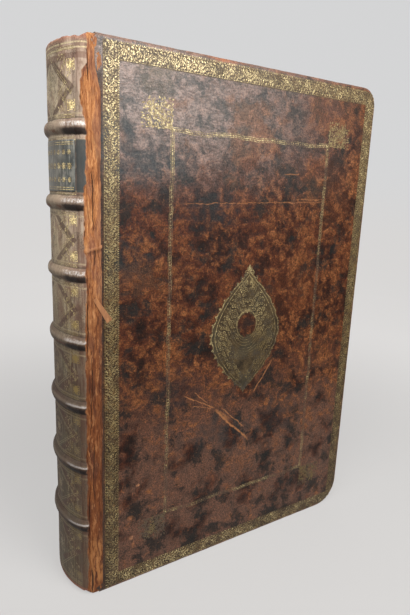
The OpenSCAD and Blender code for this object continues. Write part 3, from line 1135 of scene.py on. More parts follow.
def mottled_calf(name, front):
    """The sprinkled skin. The front has the large patches and scratches of its use."""
    calf = Finish(name)
    x, y, z = calf.axes()
    u = x - joint_x
    apart = calf.stretch(1, 3, 1)
    wander = calf.noise(0.02, 2, 0.5, apart)
    warp = calf.shake(apart, 0.07, 9)
    cloud = calf.noise(0.036, 4, 0.62, warp)
    fleck = calf.noise(0.11, 5, 0.60, warp)
    spots = calf.noise(0.30, 4, 0.60, warp)
    specks = calf.noise(1.0, 3, 0.6, apart)
    warm = u.ease(110, 230) * z.ease(90, 190) * 0.022 + wander.ease(0.4, 0.65) * 0.05
    cool = z.ease(140, 20) * 0.04 + z.ease(290, 370) * u.ease(270, 90) * 0.05
    base = calf.ramp(
        cloud * 0.5 + fleck * 0.5,
        (0.38, (0.008, 0.0042, 0.0032)),
        (0.45, (0.021, 0.0070, 0.0036)),
        (0.52, (0.044, 0.0135, 0.0060)),
        (0.64, (0.078, 0.0250, 0.0085)),
    )
    dusty = z.ease(220, 100) * cloud.ease(0.34, 0.52)
    base = calf.mix(dusty * 0.60, base, (0.082, 0.050, 0.036))
    tan_tone = calf.mix(spots.ease(0.38, 0.64), (0.066, 0.0240, 0.0082), (0.130, 0.0530, 0.0190))
    low_left = z.ease(190, 90) * u.ease(190, 60, 0.025, 0.050)
    tan_field = fleck * 0.50 + spots * 0.22 + cloud * 0.28 + warm - cool - low_left
    tan = tan_field.ease(0.490, 0.635)
    base = calf.mix(tan * 0.85, base, tan_tone)
    acid_field = calf.noise(0.050, 6, 0.70, calf.vector("ADD", warp, (41.0, 7.0, 13.0)))
    acid = (acid_field * 0.85 + spots * 0.15 + cool * 0.7).ease(0.52, 0.60)
    base = calf.mix(acid * 0.85, base, (0.0060, 0.0072, 0.0068))
    sprinkle = (specks * 0.55 + spots * 0.45).ease(0.46, 0.37)
    base = calf.mix(sprinkle * 0.75, base, (0.006, 0.0055, 0.005))
    crumbled = (specks * 0.5 + spots * 0.5 + warm * 0.4).ease(0.57, 0.66)
    base = calf.mix(crumbled * 0.30, base, (0.23, 0.095, 0.036))
    speckle = calf.noise(0.75, 5, 0.75, apart).ease(0.33, 0.66)
    shade = calf.mix(speckle, (0.42, 0.46, 0.50), (1.65, 1.46, 1.34))
    # Painted sheen: towards the head and the joint the leather turns a pale grey-mauve, as if it
    # reflected the light, with pits and crazing in it.
    painted_sheen = u.ease(300, 20) * (z + (fleck - 0.5) * 50).ease(312, 395)
    crinkle = calf.noise(0.50, 4, 0.62, calf.stretch(0.55, 1, 1.5))
    pits = (specks * 0.16 + crinkle * 0.50 + fleck * 0.34).ease(0.57, 0.41)
    sheen_tone = calf.mix(pits, (0.300, 0.254, 0.232), (0.150, 0.136, 0.126))
    sheen_tone = calf.mix(acid * 0.65, sheen_tone, (0.066, 0.078, 0.080))
    sheen_tone = calf.mix(cloud.ease(0.50, 0.62) * 0.5, sheen_tone, (0.250, 0.135, 0.080))
    crazing = calf.cells(0.30, "DISTANCE_TO_EDGE", warp).ease(0.0, 0.06, 1, 0) * spots.ease(0.42, 0.55)
    sheen_tone = calf.mix(crazing * 0.5, sheen_tone, (0.060, 0.045, 0.036))
    base = calf.mix(painted_sheen * 0.66, base, sheen_tone)
    shade = calf.mix(painted_sheen * 0.55, shade, (1.0, 1.0, 1.0))
    gilded = (u - roll_left).low(z - 1.6).low(u * -1 + 277.8).low(z * -1 + 426.6)
    ground = gilded.ease(-0.4, 0.6) * gilded.ease(roll_w, roll_w - 1)
    dusted = calf.mix(spots.ease(0.45, 0.62), (0.014, 0.0090, 0.0045), (0.064, 0.0420, 0.0160))
    dusted = calf.mix(z.ease(200, 330) * 0.35, dusted, (0.110, 0.082, 0.044))
    base = calf.mix(ground * specks.ease(0.3, 0.6, 0.6, 0.85), base, dusted)
    scuffed = (calf.mark("rim") * -0.12 + fleck * 1.2).ease(0.30, 0.62)
    scuffed = scuffed * (1 - calf.mark("inside") * 0.6)
    edge_red = calf.mix(spots.ease(0.4, 0.62), (0.100, 0.060, 0.047), (0.185, 0.105, 0.073))
    base = calf.mix(scuffed * 0.65, base, edge_red)
    joint_side = (u + fleck * 5).ease(9.5, 6.0)
    base = calf.mix(joint_side * z.ease(400, 412) * 0.7, base, (0.150, 0.105, 0.085))
    base = calf.mix(u.ease(8.6, 8.0) * z.ease(412, 404) * 0.8, base, (0.030, 0.019, 0.014))
    if front:
        for middle_u, middle_z, half_u, half_z, colour, share in (
            (27, 276, 19, 18, (0.009, 0.014, 0.015), 0.95),
            (207, 336, 18, 12, (0.011, 0.016, 0.015), 0.95),
            (120, 118, 34, 16, (0.014, 0.017, 0.018), 0.6),
            (72, 168, 24, 24, (0.018, 0.014, 0.014), 0.5),
            (190, 125, 24, 24, (0.016, 0.014, 0.014), 0.5),
            (100, 320, 34, 16, (0.014, 0.018, 0.020), 0.55),
            (38, 262, 17, 13, (0.130, 0.046, 0.014), 0.35),
            (38, 352, 40, 16, (0.030, 0.038, 0.042), 0.75),
            (14, 372, 16, 12, (0.034, 0.042, 0.046), 0.6),
            (49, 410, 15, 14, (0.150, 0.125, 0.090), 0.4),
            (142, 219, 13, 14, (0.022, 0.010, 0.006), 0.75),
            (108, 430, 16, 4, (0.27, 0.100, 0.045), 0.8),
            (38, 90, 1.7, 1.5, (0.34, 0.170, 0.085), 0.7),
            (31, 61, 2.6, 1.9, (0.26, 0.105, 0.038), 0.6),
            (32, 42, 2.2, 2.0, (0.33, 0.165, 0.085), 0.6),
            (34, 35, 1.4, 3.2, (0.26, 0.105, 0.038), 0.6),
            (190, 245, 30, 24, (0.046, 0.015, 0.006), 0.4),
            (222, 400, 28, 16, (0.095, 0.040, 0.022), 0.3),
            (235, 330, 22, 28, (0.080, 0.028, 0.011), 0.3),
        ):
            spot = patch_mask(u, z, middle_u, middle_z, half_u, half_z, fleck)
            base = calf.mix(spot * share, base, colour)
    base = calf.mix(1.0, base, shade, "MULTIPLY")
    rise = calf.noise(1.3, 3, 0.6, apart) * 0.5 + calf.cells(1.9, "F1", apart) * 0.3
    rise = rise - acid * 0.25 - pits * painted_sheen * 0.4
    if front:
        scratches = 0.0
        shaken_u = u + (spots - 0.5) * 2.5
        shaken_z = z + (fleck - 0.5) * 5
        for first, second, width, share in (
            ((173, 348), (191, 349), 0.8, 0.5),
            ((70, 321), (231, 326), 0.55, 0.5),
            ((187, 327), (224, 328), 0.8, 0.4),
            ((79, 162), (112, 144), 0.6, 0.75),
            ((88, 150), (112, 144), 0.5, 0.7),
            ((90, 163), (104, 150), 0.6, 0.6),
            ((112, 142), (152, 104), 1.25, 0.75),
            ((112, 142), (128, 130), 2.4, 0.5),
            ((120, 142), (146, 118), 0.8, 0.6),
            ((154, 151), (175, 181), 0.9, 0.6),
        ):
            cut = scratch_mask(shaken_u, shaken_z, first, second, width)
            scratches = (cut * share * spots.ease(0.30, 0.5)).high(scratches)
        rise = rise - scratches * 0.5
        base = calf.mix(scratches, base, (0.25, 0.105, 0.040))
        ghost = patch_mask(u, z, 49, 402, 12, 6, fleck)
        blind = calf.cells(0.42, "DISTANCE_TO_EDGE", warp).ease(0.02, 0.14, 1, 0)
        base = calf.mix(ghost * blind * 0.7, base, (0.050, 0.038, 0.030))
    slow_relief = calf.bump(cloud * 0.5 + fleck * 0.5, 1.1)
    relief = calf.bump(rise, 0.30, slow_relief)
    calf.coat(
        base_color=base,
        roughness=fleck * 0.30 + acid * 0.06 + scuffed * 0.15 + 0.25 - painted_sheen * 0.04,
        normal=relief,
        specular_ior_level=0.13,
    )
    return calf.material


for side, sign in covers:
    skin_finish = mottled_calf(f"mottled_calf_{side}", side == "front")
    skin = cover_skin(f"{side}_mottled_leather", sign, skin_finish)
    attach(skin, f"{side}_cover")
    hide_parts(f"{side}_cover_leather")


# Gilt roll: a brass wheel cut with a running scroll, heated and wheeled along the edges
# of the cover over gold leaf. The gold is rubbed thin towards the fore-edge and tail.
def on_cover(sign):
    """Places on the leather of the front cover, sign -1, or of the back one."""

    def place(u, z, lift):
        return (joint_x + u, sign * (book_t / 2 - face_dip(u, z) + lift), z)

    return place


cover_gold = gold_leaf(
    "cover_gold_leaf",
    (0.042, 0.027, 0.012),
    lambda gold, x, y, z: (x - joint_x).ease(60, 270) * 0.08 + z.ease(240, 90) * 0.14 + 0.14,
    lambda gold, x, y, z: z.ease(390, 290) * 0.52
    - z.ease(30, 12) * 0.5
    + gold.noise(0.05, 3).ease(0.4, 0.7) * 0.3,
    0.25,
    1.06,
)

roll_tile = Tooling()
repeat = 11.0
wave = [(repeat * index / 16, 1.9 * math.sin(2 * math.pi * index / 16)) for index in range(17)]
roll_tile.line(wave, 0.8)
for share, hand in ((0.25, 1), (0.75, -1)):
    middle = repeat * share
    roll_tile.curl(middle, -0.9 * hand, 2.05, hand * -2.6, hand * -1.25, 0.82, 11)
    roll_tile.leaf(middle - 0.2, hand * 2.2, hand * 1.57, 2.8, 1.5)
    roll_tile.leaf(middle - 1.1, hand * 2.1, hand * 2.3, 2.8, 1.2)
    roll_tile.leaf(middle + 1.0, hand * 2.1, hand * 0.85, 2.8, 1.2)
    roll_tile.leaf(middle + 2.4, -0.9 * hand, hand * -1.9, 2.8, 1.5)
    roll_tile.leaf(middle - 2.3, -2.7 * hand, hand * -0.7, 2.4, 1.3)
    roll_tile.leaf(middle + 0.4, -3.2 * hand, hand * -2.2, 1.8, 0.9)
    roll_tile.curl(middle + 2.4, hand * -3.4, 1.15, 1.0, hand * 0.9, 0.45, 7)
    roll_tile.curl(middle - 2.6, hand * 3.5, 1.0, 2.0, hand * -0.9, 0.42, 7)
    roll_tile.dot(middle + 2.6, 3.9 * hand, 0.42, 5)
    roll_tile.dot(middle - 0.9, -4.3 * hand, 0.36, 5)
for side_y in (-5.1, 5.1):
    for tick in range(5):
        start = repeat * tick / 5
        roll_tile.line([(start + 0.1, side_y), (start + 1.7, side_y)], 0.5)
for bead in range(7):
    roll_tile.dot(repeat * (bead + 0.5) / 7, -5.8, 0.44, 5)

wheel, got, given = blank_tree(
    "wheeled_strip",
    Before="Geometry",
    Tile="Object",
    Repeats="Int",
    Start="Vector",
    Step="Vector",
    Turn="Vector",
    Gold="Material",
)
tile_in = step(wheel, "ObjectInfo", {"Object": got["Tile"]}, transform_space="ORIGINAL")
run = {"Count": got["Repeats"], "Start Location": got["Start"], "Offset": got["Step"]}
places = step(wheel, "MeshLine", run, mode="OFFSET")
strip = step(
    wheel,
    "InstanceOnPoints",
    {"Points": places[0], "Instance": tile_in["Geometry"], "Rotation": got["Turn"]},
)
both = step(wheel, "JoinGeometry", {0: [strip[0], got["Before"]]})
solid = step(wheel, "RealizeInstances", {0: both[0]})
gilded = step(wheel, "SetMaterial", {"Geometry": solid[0], "Material": got["Gold"]})
wheel.links.new(gilded[0], given.inputs[0])


def wheeled(tile, repeat, runs):
    """Flat shapes of a roll wheeled along straight runs of start, length and direction."""
    block = new_piece("tile", tile.flat("tile"), cover_gold)
    carrier = new_piece("strip", bpy.data.meshes.new("strip"), cover_gold)
    for (x, y), length, turn in runs:
        count = round(length / repeat)
        stretch = length / count
        grow(
            carrier,
            wheel,
            {
                "Tile": block,
                "Repeats": count,
                "Start": (x, y, 0.0),
                "Step": (stretch * math.cos(turn), stretch * math.sin(turn), 0.0),
                "Turn": (0.0, 0.0, turn),
                "Gold": cover_gold,
            },
        )
    flat = Tooling()
    flat.points = [(vertex.co.x, vertex.co.y) for vertex in carrier.data.vertices]
    flat.faces = [tuple(face.vertices) for face in carrier.data.polygons]
    bpy.data.objects.remove(block)
    bpy.data.objects.remove(carrier)
    return flat


upright_run = 424.8
level_run = 244.8
border = wheeled(
    roll_tile,
    repeat,
    [
        ((14.6, 1.9), upright_run, math.pi / 2),
        ((271.9, 426.7), upright_run, -math.pi / 2),
        ((265.7, 420.9), level_run, math.pi),
        ((20.9, 8.0), level_run, 0.0),
    ],
)


def inside_corners(u, z):
    """True where the worn corners of the board still carry the roll."""
    on_leather = roll_left < u < board_w - 1 and 1.2 < z < board_h - 1
    return on_leather and corner_rim(u, z) >= 1.2 + 0.8 * rough(u / 4, z / 4)


border.keep(inside_corners)


def drift(u, z):
    """A hand-guided wheel never runs quite straight."""
    return (u + 0.35 * rough(z / 40, u / 60, 2), z + 0.35 * rough(u / 40, z / 60, 6))


border_mesh = Tooling()
border_mesh.add(border, drift)
for side, sign in covers:
    roll = border_mesh.pressed(f"{side}_gilt_roll", on_cover(sign), cover_gold)
    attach(roll, f"{side}_cover")
    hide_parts(f"{side}_border_roll")

# Inner frame: a narrow roll of beads between two fillets, run a third of the way in. It
# is rubbed through in places and wanders where the wheel slipped.
bead_tile = Tooling()
for side_y in (-1.4, 1.4):
    bead_tile.line([(0, side_y), (2.6, side_y)], 0.34)
bead_tile.dot(0.75, 0.0, 0.72, 6)
bead_tile.leaf(1.55, -0.7, 1.0, 1.5, 0.7)
frame_left, frame_right = 65.8, 222.2
frame_low, frame_high = 55.8, 374.2
inner = wheeled(
    bead_tile,
    2.6,
    [
        ((frame_left, frame_low), frame_high - frame_low, math.pi / 2),
        ((frame_right, frame_high), frame_high - frame_low, -math.pi / 2),
        ((frame_left, frame_high), frame_right - frame_left, 0.0),
        ((frame_left, frame_low), frame_right - frame_left, 0.0),
    ],
)


def left_lean(u, z):
    """The frame was set a little too near the joint, most of all at the head."""
    return clip((150 - u) / 80) * (1.2 + 2.0 * z / board_h)


def wander(u, z):
    """Where the narrow roll really went."""
    return (
        u - left_lean(u, z) + 1.5 * rough(z / 30, 4.0) + 0.8 * rough(z / 8, 9.0),
        z + 1.5 * rough(u / 26, 8.0) + 0.9 * rough(u / 7, 2.0),
    )


inner_roll = Tooling()
inner_roll.add(inner, wander)
frame_gold = gold_leaf(
    "frame_gold_leaf",
    (0.050, 0.029, 0.018),
    lambda gold, x, y, z: gold.noise(0.03, 3).ease(0.35, 0.7) * 0.38
    + x.ease(20, 110) * 0.10
    + z.ease(160, 60) * 0.06
    - z.ease(290, 380) * 0.22
    + 0.12,
    lambda gold, x, y, z: gold.noise(0.06, 3).ease(0.3, 0.6) * 0.3 + z.ease(390, 300) * 0.3,
    0.2,
    1.1,
)
stamp_gold = gold_leaf(
    "fleuron_gold_leaf",
    (0.050, 0.034, 0.022),
    lambda gold, x, y, z: z.ease(330, 100) * (x.ease(20, -40) * 0.3 + 0.2)
    + x.ease(0, 110) * 0.10
    - 0.08,
    lambda gold, x, y, z: z.ease(330, 100) * 0.6 + x.ease(0, 110) * 0.35 + 0.3,
    0.2,
)
for side, sign in covers:
    roll = inner_roll.pressed(f"{side}_inner_roll", on_cover(sign), frame_gold)
    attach(roll, f"{side}_cover")
    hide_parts(f"{side}_inner_frame")

# Corner fleurons: one large block of scrolling leaves, stamped outside each corner of the
# frame with its stem towards the corner.
fleuron = Tooling()
scrolls = Tooling()
for row in range(4):
    for column in range(row, 5):
        x = 3.9 + column * 5.1 + (1.1 if row % 2 else 0.0)
        y = 3.6 + row * 5.1
        if x < y or x > 23.0 or math.hypot(x, y) > 28.5:
            continue
        spin = 1 if (row + column) % 2 else -1
        scrolls.curl(x, y, 2.4, spin * 1.1 + 0.9 * rough(x, y), spin * 1.2, 0.95, 10)
        scrolls.leaf(x + 2.2, y + 1.1, 0.75 * spin + 0.5, 3.4, 1.6)
        scrolls.leaf(x - 1.9, y - 1.8, 3.8 - 0.6 * spin, 2.6, 1.3)
        scrolls.dot(x + 2.9, y - 1.5, 0.55, 5)
scrolls.line([(0.4, 0.2), (5, 1.1), (10, 0.7), (16, 1.3), (22, 0.7)], 0.7, 0.5)
for x in (6.0, 10.6, 15.2, 19.8, 23.6):
    scrolls.leaf(x, 1.2, -0.5, 2.6, 1.1)
for y in (3.0, 7.0, 11.0, 15.0, 18.6):
    scrolls.leaf(24.0 - max(0.0, y - 13) * 0.8, y, 0.3, 2.4, 1.5)
fleuron.add(scrolls, lambda x, y: (x, y))
fleuron.add(scrolls, lambda x, y: (y, x))
for distance in (3.0, 8.5, 14.0, 20.0):
    fleuron.leaf(distance * 0.707, distance * 0.707, math.pi / 4, 5.4, 2.0)

fleurons = Tooling()
for corner_u, corner_z, out_u, out_z in (
    (frame_left, frame_high, -1, 1),
    (frame_right, frame_high, 1, 1),
    (frame_left, frame_low, -1, -1),
    (frame_right, frame_low, 1, -1),
):
    corner_u -= left_lean(corner_u, corner_z)
    fleurons.add(fleuron, lambda x, y: (corner_u + out_u * x, corner_z + out_z * y * 0.84))
for side, sign in covers:
    stamps = fleurons.pressed(f"{side}_fleuron_stamps", on_cover(sign), stamp_gold)
    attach(stamps, f"{side}_cover")
    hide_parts(f"{side}_corner_fleurons")

# Centrepiece: one engraved brass block, a pointed oval of interlaced leaves, struck in a
# press over a wash of thin gold. Its middle was left plain and is worn to the leather.
centre_u, centre_z = 142.0, 212.5
tip_z = 54.0
void_z = 5.4
scallops = 15.7


def half_width(height):
    """Half the width of the pointed oval at a height from -1 to 1, drawn in at its tips."""
    share = max(0.0, 1 - abs(height + 0.05) ** 1.6) if abs(height) < 1 else 0.0
    return 36.0 * share**0.88 * (1 - 0.45 * abs(height) ** 6)


plaque = Tooling()
rows = 54
columns = 22
for row in range(rows + 1):
    height = 2 * row / rows - 1
    wide = half_width(height) + 0.5 + 1.7 * abs(math.sin(height * scallops))
    wide += 0.7 * rough(height * 9, 2.0)
    if abs(height) == 1:
        wide = 0.8
    for column in range(columns + 1):
        plaque.points.append((wide * (2 * column / columns - 1), height * (tip_z + 0.5)))
plaque.faces = squares(columns, rows, lambda column, row: row * (columns + 1) + column)
plaque.keep(lambda x, y: math.hypot(x, (y - void_z) * 0.86) > 9.2 + 2.6 * rough(x / 5, y / 5, 4))

block = Tooling()
for hand in (-1, 1):
    half_block = Tooling()
    for inset, width in ((0.0, 0.9), (-2.6, 0.6)):
        outline = []
        for index in range(49):
            height = 1 - 2 * index / 48
            scallop = 1.54 * abs(math.sin(height * scallops)) if inset == 0 else 0.0
            outline.append((max(half_width(height) + inset + scallop, 0.0), height * tip_z))
        half_block.line(outline, width)
    for index in range(15):
        height = 0.9 - 1.8 * index / 14
        reach = half_width(height)
        size = 1.0 if hand < 0 else 0.62
        heading = 0.45 if height > 0 else -0.45
        half_block.leaf(reach + 0.2, height * tip_z, heading, 3.4 * size, 2.3 * size)
    lattice = 5.4
    for row in range(-10, 11):
        for column in range(0, 7):
            x = (column + (0.5 if row % 2 else 0.0)) * lattice + 2.6
            y = row * lattice * 0.86
            room = half_width(y / tip_z) - 3.6 - x
            if room < 1.0 or math.hypot(x, y - void_z) < 13.0:
                continue
            if y < -8 and x < 17 + y * 0.3:
                continue
            spin = 1 if (row + column) % 2 else -1
            half_block.curl(x, y, 2.2, spin * 1.2 + 0.9 * rough(x, y), spin * 1.3, 0.66, 10)
            half_block.leaf(x + 2.0, y + 1.3, 0.9 * spin + 0.4, 2.5, 1.2)
            half_block.leaf(x - 1.9, y - 1.3, 3.6 - 0.7 * spin, 2.2, 1.1)
            half_block.dot(x + 2.7, y - 1.5, 0.42, 5)
    for number in range(8):
        arc_path = []
        for index in range(13):
            swing = 1.05 * index / 12 - 1.57
            reach = (14.5 + number * 2.6) * (1 + 0.05 * rough(swing * 3, number * 5.1))
            x = reach * math.cos(swing) * 0.8
            y = void_z + reach * math.sin(swing)
            if -1 < x < half_width(y / tip_z) - 4:
                arc_path.append((x, y))
        if len(arc_path) > 2:
            half_block.line(arc_path, 0.4, 0.25)
    ring_path = []
    for index in range(19):
        swing = math.pi / 2 - math.pi * index / 18
        ring_path.append((10.8 * math.cos(swing), void_z + 12.4 * math.sin(swing)))
    half_block.line(ring_path, 2.0 if hand < 0 else 1.0, 0.3)
    for end in (-1, 1):
        tip = end * (tip_z - 3)
        half_block.curl(3.0, tip + end * 0.5, 2.4, end * 2.6, end * -1.2, 0.9, 10)
        half_block.curl(7.0, tip - end * 4.4, 2.3, end * 1.2, end * -1.2, 0.8, 10)
        half_block.leaf(0.8, tip + end * 1.0, end * 1.25, 5.0, 2.2)
        half_block.leaf(0.8, tip - end * 10, end * 1.05, 7.0, 2.6)
        half_block.leaf(2.6, tip - end * 13, end * 0.7, 6.0, 2.2)
    block.add(half_block, lambda x, y: (hand * x, y))
for end in (-1, 1):
    block.leaf(0, end * (tip_z - 1), end * 1.57, 6.0, 2.6)

on_plaque = Tooling()
stamp_at(on_plaque, plaque, centre_u, centre_z)
foliage = Tooling()
stamp_at(foliage, block, centre_u, centre_z)

wash = Finish("thin_gold_wash")
wash_fine = wash.noise(0.9, 4, 0.65)
wash_patch = wash.noise(0.09, 4, 0.6)
wash_tone = wash.ramp(
    wash_fine * 0.5 + wash_patch * 0.5,
    (0.36, (0.010, 0.0070, 0.0040)),
    (0.46, (0.027, 0.0180, 0.0092)),
    (0.56, (0.052, 0.0345, 0.0155)),
    (0.70, (0.100, 0.0680, 0.0310)),
)
verdigris = wash.noise(0.05, 4, 0.6).ease(0.50, 0.62)
wash_tone = wash.mix(verdigris * 0.3, wash_tone, (0.034, 0.036, 0.026))
wash.coat(
    base_color=wash_tone,
    metallic=wash_fine * 0.2,
    specular_ior_level=0.15,
    roughness=wash_patch * 0.3 + 0.36,
    normal=wash.bump(wash_fine, 0.2),
)
block_gold = gold_leaf(
    "centrepiece_gold_leaf",
    (0.026, 0.020, 0.013),
    lambda gold, x, y, z: gold.noise(0.06, 3).ease(0.35, 0.65) * 0.25
    + z.ease(215, 185) * 0.20
    - x.ease(0, -30) * 0.10,
    lambda gold, x, y, z: gold.noise(0.07, 3).ease(0.3, 0.6) * 0.25
    + z.ease(240, 190) * 0.30
    + x.ease(-30, 10) * 0.22
    + 0.16,
    0.2,
)
for side, sign in covers:
    struck = on_cover(sign)
    ground = on_plaque.pressed(f"{side}_centrepiece_ground", struck, wash.material, 0.03, 0.15)
    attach(ground, f"{side}_cover")
    engraved = foliage.pressed(f"{side}_centrepiece_leaves", struck, block_gold, 0.11, 0.1)
    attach(engraved, f"{side}_cover")
    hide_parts(f"{side}_centrepiece")


# Joint leather: the strip that bends each time a cover is opened. The front one has split
# and peeled to the raw fibres under the grain; the back one is only cracked.
bend_l = shoulder_r * (math.pi / 2 - sweep)
on_board_w = 7.7
strip_middle = board_h / 2
strip_half = 211


def joint_place(along, depth, side):
    """Place across the joint, from the spine leather over the shoulder to the board."""
    if along < bend_l:
        swing = sweep + along / shoulder_r
        reach = shoulder_r - depth
        return (joint_x - reach * math.cos(swing), side * (shoulder_y + reach * math.sin(swing)))
    return (joint_x + along - bend_l, side * (book_t / 2 - depth))


# Splits: distance across the joint, lower end, upper end, half width.
slits = (
    (3.2, 371, 405, 0.75),
    (8.9, 398, 424, 0.7),
    (11.6, 300, 345, 0.5),
    (5.0, 296, 330, 0.55),
    (12.6, 276, 289, 0.6),
    (6.8, 205, 262, 0.55),
    (9.6, 150, 214, 0.5),
    (4.2, 120, 168, 0.6),
    (10.8, 84, 140, 0.55),
    (6.2, 40, 92, 0.5),
    (8.4, 4, 26, 1.1),
    (3.6, 60, 84, 0.7),
)


def torn_depth(along, z):
    """How deep the torn leather lies below the unworn surface."""
    wander_s = along + 1.3 * rough(z / 34, 2.2) + 0.5 * rough(z / 9, 6.1) + 0.2 * rough(z / 3, 8.3)
    strands = 1 - min(abs(rough(wander_s / 2.9, z / 90, 1)) * 2.6, 1.0)
    fibres = rough(wander_s / 0.9, z / 14, 4) * 0.15
    lumps = 0.26 * rough(along / 3.5, z / 11, 8) + 0.08 * rough(along / 1.2, z / 2.5, 12)
    depth = 0.40 + strands**2 * 0.25 - fibres + lumps
    for middle, low, high, width in slits:
        if low < z < high:
            share = (z - low) / (high - low)
            narrow = width * math.sin(math.pi * share) ** 0.6
            off = abs(wander_s - middle - 0.5 * rough(z / 7, middle)) / max(narrow, 0.01)
            if off < 1:
                depth += 0.75 * (1 - off**2)
    ledge = (z - 287 - 0.28 * (along - 8)) / 1.6
    if abs(ledge) < 1 and along > 2:
        depth -= 0.42 * (1 - ledge**2)
    elif -2.4 < ledge <= -1 and along > 2:
        depth += 0.25
    return min(max(depth, 0.06), 1.1)


def sound_edge(z):
    """How far the unbroken spine leather runs over the shoulder before it is torn."""
    edge = 5.4
    for low, high, reach in ((406, 440, 8.8), (381, 404, 3.9), (329, 378, 7.3), (238, 284, 6.5)):
        edge += (reach - edge) * clip((z - low) / 4) * clip((high - z) / 4)
    return edge + 1.5 * rough(z / 12, 41) + 0.9 * rough(z / 3.2, 43)


def band_end(along, z):
    """How far a band still lifts the leather while it fades out over the shoulder."""
    return 2.0 * band_share(z) * max(0.0, 1 - (along / 8) ** 2)


def torn_joint(along, z):
    """Depth of the front joint, and how much of the sound spine leather is left there."""
    sound = clip((sound_edge(z) - along) / 0.5)
    kept = 0.30 + 0.10 * rough(along / 3, z / 9, 45) - band_end(along, z)
    return sound * kept + (1 - sound) * torn_depth(along, z), sound


def cracked_joint(along, z):
    """The same for the back joint, where only the surface is cracked."""
    sound = clip((5.4 - along) / 3.0)
    ridges = abs(rough(along / 2.2, z / 40, 21)) * 0.16
    cross = max(0.0, rough(along / 5, z / 2.2, 23)) * 0.12
    depth = 0.30 + ridges + cross + 0.08 * rough(along / 5, z / 20, 25)
    return depth - band_end(along, z), sound


def joint_strip(name, side, depth_at, ragged, material):
    """A strip with depths from a function. Ragged is 1 for torn edges and ends, 0 for even ones."""
    wide, tall = 44, 620
    far = bend_l + on_board_w
    points = []
    deep = []
    kept = []

    def overhang(along, end, reach):
        return math.copysign(ragged * reach * clip((along - 3) / 6) * abs(end) ** 31, end)

    for row in range(tall + 1):
        end = 2 * row / tall - 1
        z = strip_middle + strip_half * end
        last = far + ragged * (0.8 * rough(z / 9, 31) + 0.5 * rough(z / 2.2, 33) - 0.2)
        rounding = max(0.0, 1 - strip_half * (1 - abs(end)) / 2.8)
        for column in range(wide + 1):
            share = column / wide
            along = last * share
            depth, sound = depth_at(along, z)
            deep.append(depth)
            kept.append(sound)
            lip = (1 - share) * wide
            if lip < 1.5:
                depth = min(depth + 0.10 * (1.5 - lip), 1.1)
            depth = min(depth + 0.9 * (1 - math.sqrt(1 - rounding**2)), 1.12)
            x, y = joint_place(along, depth, side)
            points.append((x, y, z + overhang(along, end, 2.6)))
    top = len(points)
    for row in range(tall + 1):
        end = 2 * row / tall - 1
        for column in range(wide + 1):
            along = far * column / wide
            x, y = joint_place(along, 1.19, side)
            points.append((x, y, strip_middle + strip_half * end + overhang(along, end, 2.4)))
            deep.append(0.5)
            kept.append(0.0)

    def at(layer, row, column):
        return layer * top + row * (wide + 1) + column

    faces = squares(wide, tall, lambda column, row: at(0, row, column))
    faces += [face[::-1] for face in squares(wide, tall, lambda column, row: at(1, row, column))]
    rim = [((row, column), (row + 1, column)) for row in range(tall) for column in (0, wide)]
    rim += [((row, column), (row, column + 1)) for column in range(wide) for row in (0, tall)]
    for first, second in rim:
        faces.append([at(0, *first), at(0, *second), at(1, *second), at(1, *first)])
    mesh = shell(name, points, faces)
    keep_marks(mesh, "depth", deep)
    keep_marks(mesh, "sound", kept)
    return new_piece(name, mesh, material)


